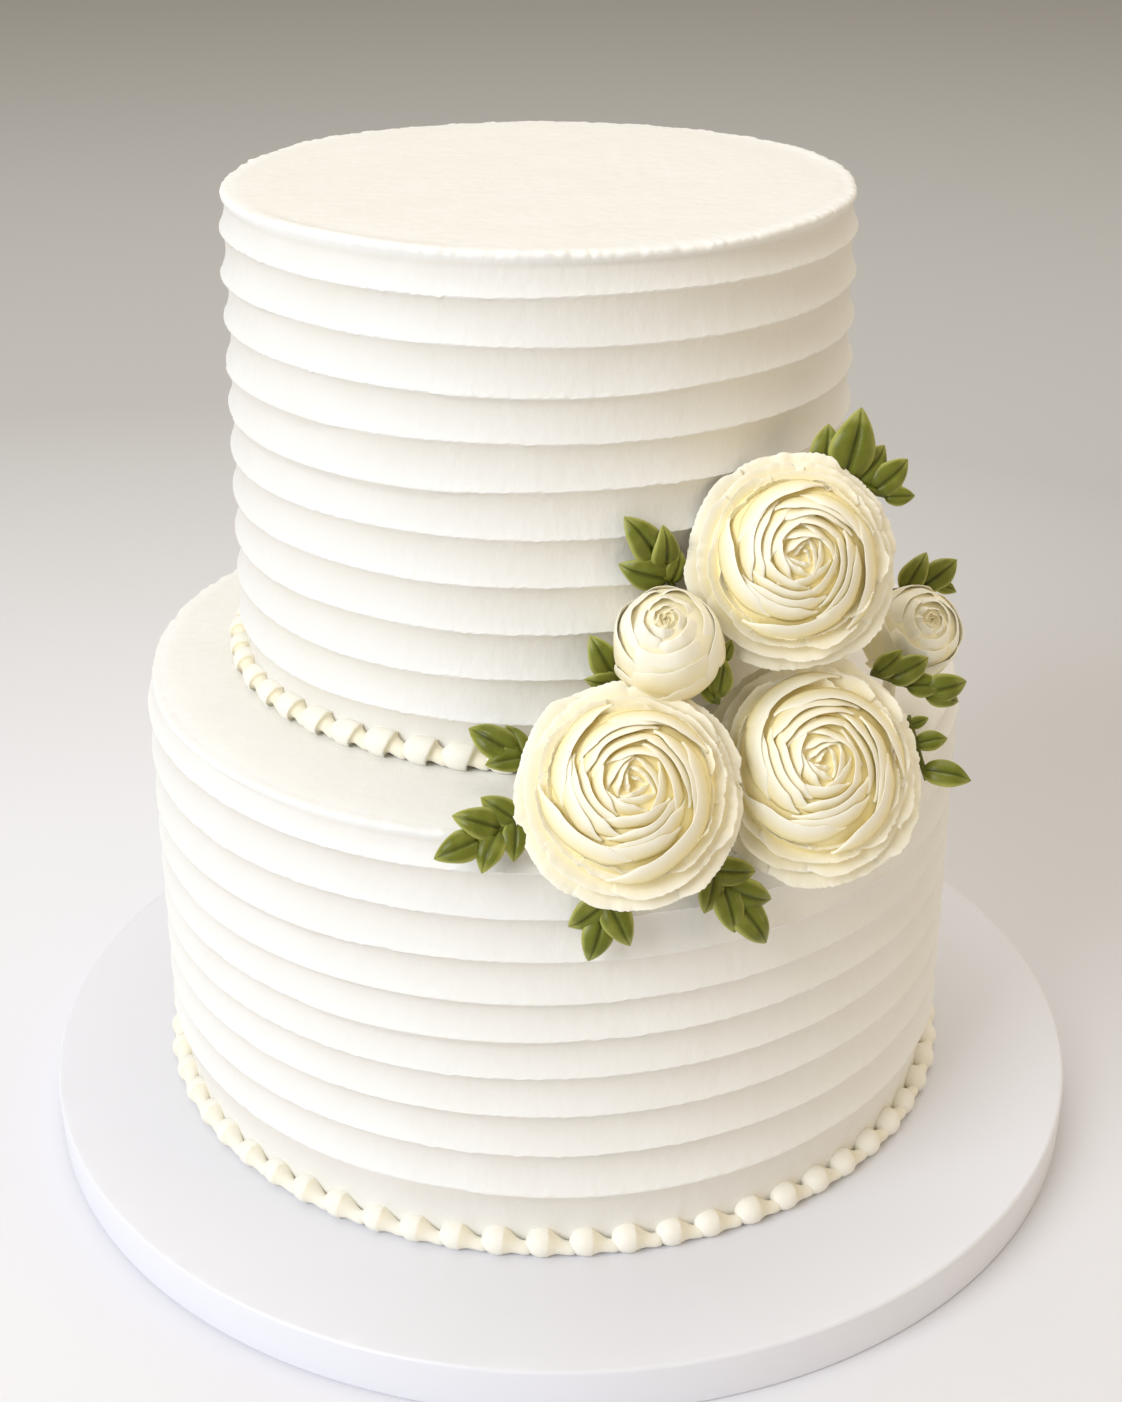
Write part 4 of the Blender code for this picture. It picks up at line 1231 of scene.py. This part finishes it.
def add_lamp(name, place, size, power, tint):
    """Square area light that faces the cake's middle."""
    data = bpy.data.lights.new(name, "AREA")
    data.shape = "SQUARE"
    data.size = size
    data.energy = power
    data.color = tint
    lamp = link_object(name, data)
    away = np.array(place) - np.array(LAMP_AIM)
    lamp.location = place
    tilt = math.acos(away[2] / np.linalg.norm(away))
    lamp.rotation_euler = (tilt, 0.0, math.atan2(away[1], away[0]) + 0.25 * TURN)


def add_room():
    """Even warm light from all round."""
    world = bpy.data.worlds.new("soft_room")
    world.use_nodes = True
    light = world.node_tree.nodes["Background"]
    light.inputs["Color"].default_value = opaque(ROOM_TINT)
    light.inputs["Strength"].default_value = ROOM_STRENGTH
    bpy.context.scene.world = world


def add_camera():
    """Camera in front of the cake, looking down on it."""
    data = bpy.data.cameras.new("camera")
    data.lens = CAMERA_LENS
    data.sensor_width = CAMERA_FRAME
    data.clip_start = 0.01
    data.clip_end = 50.0
    camera = link_object("camera", data)
    camera.location = CAMERA_PLACE
    camera.rotation_euler = (math.radians(CAMERA_PITCH), 0.0, 0.0)
    bpy.context.scene.camera = camera


class CAKE_OT_stage(bpy.types.Operator):
    """Set the floor, the lights and the camera"""
    bl_idname = "cake.stage"
    bl_label = "Stage"

    def execute(self, context):
        add_floor()
        for name, values in LAMPS.items():
            add_lamp(name, *values)
        add_room()
        add_camera()
        context.scene.view_settings.view_transform = "Standard"
        return {"FINISHED"}


class CAKE_PT_panel(bpy.types.Panel):
    """Lists the steps that build the cake"""
    bl_label = "Cake"
    bl_idname = "CAKE_PT_panel"
    bl_space_type = "VIEW_3D"
    bl_region_type = "UI"
    bl_category = "Cake"

    def draw(self, context):
        for step in STEPS:
            self.layout.operator(step.bl_idname)
        for group in (context.scene.cake_sizes, context.scene.flower_sizes, context.scene.cake_colours):
            box = self.layout.box()
            for label in group.bl_rna.properties.keys():
                if label not in ("rna_type", "name"):
                    box.prop(group, label)


STEPS = (CAKE_OT_board, CAKE_OT_tiers, CAKE_OT_borders, CAKE_OT_flowers, CAKE_OT_leaves, CAKE_OT_stage)
CLASSES = (CakeSizes, FlowerSizes, CakeColours, *STEPS, CAKE_PT_panel)


def register():
    """Add the classes and the scene's settings."""
    for item in CLASSES:
        bpy.utils.register_class(item)
    bpy.types.Scene.cake_sizes = bpy.props.PointerProperty(type=CakeSizes)
    bpy.types.Scene.flower_sizes = bpy.props.PointerProperty(type=FlowerSizes)
    bpy.types.Scene.cake_colours = bpy.props.PointerProperty(type=CakeColours)


def unregister():
    """Take the classes and the settings away again."""
    del bpy.types.Scene.cake_colours
    del bpy.types.Scene.flower_sizes
    del bpy.types.Scene.cake_sizes
    for item in reversed(CLASSES):
        bpy.utils.unregister_class(item)


def main():
    """Build every piece in order."""
    register()
    bpy.ops.cake.board()
    bpy.ops.cake.tiers()
    bpy.ops.cake.borders()
    bpy.ops.cake.flowers()
    bpy.ops.cake.leaves()
    bpy.ops.cake.stage()


if __name__ == "__main__":
    main()
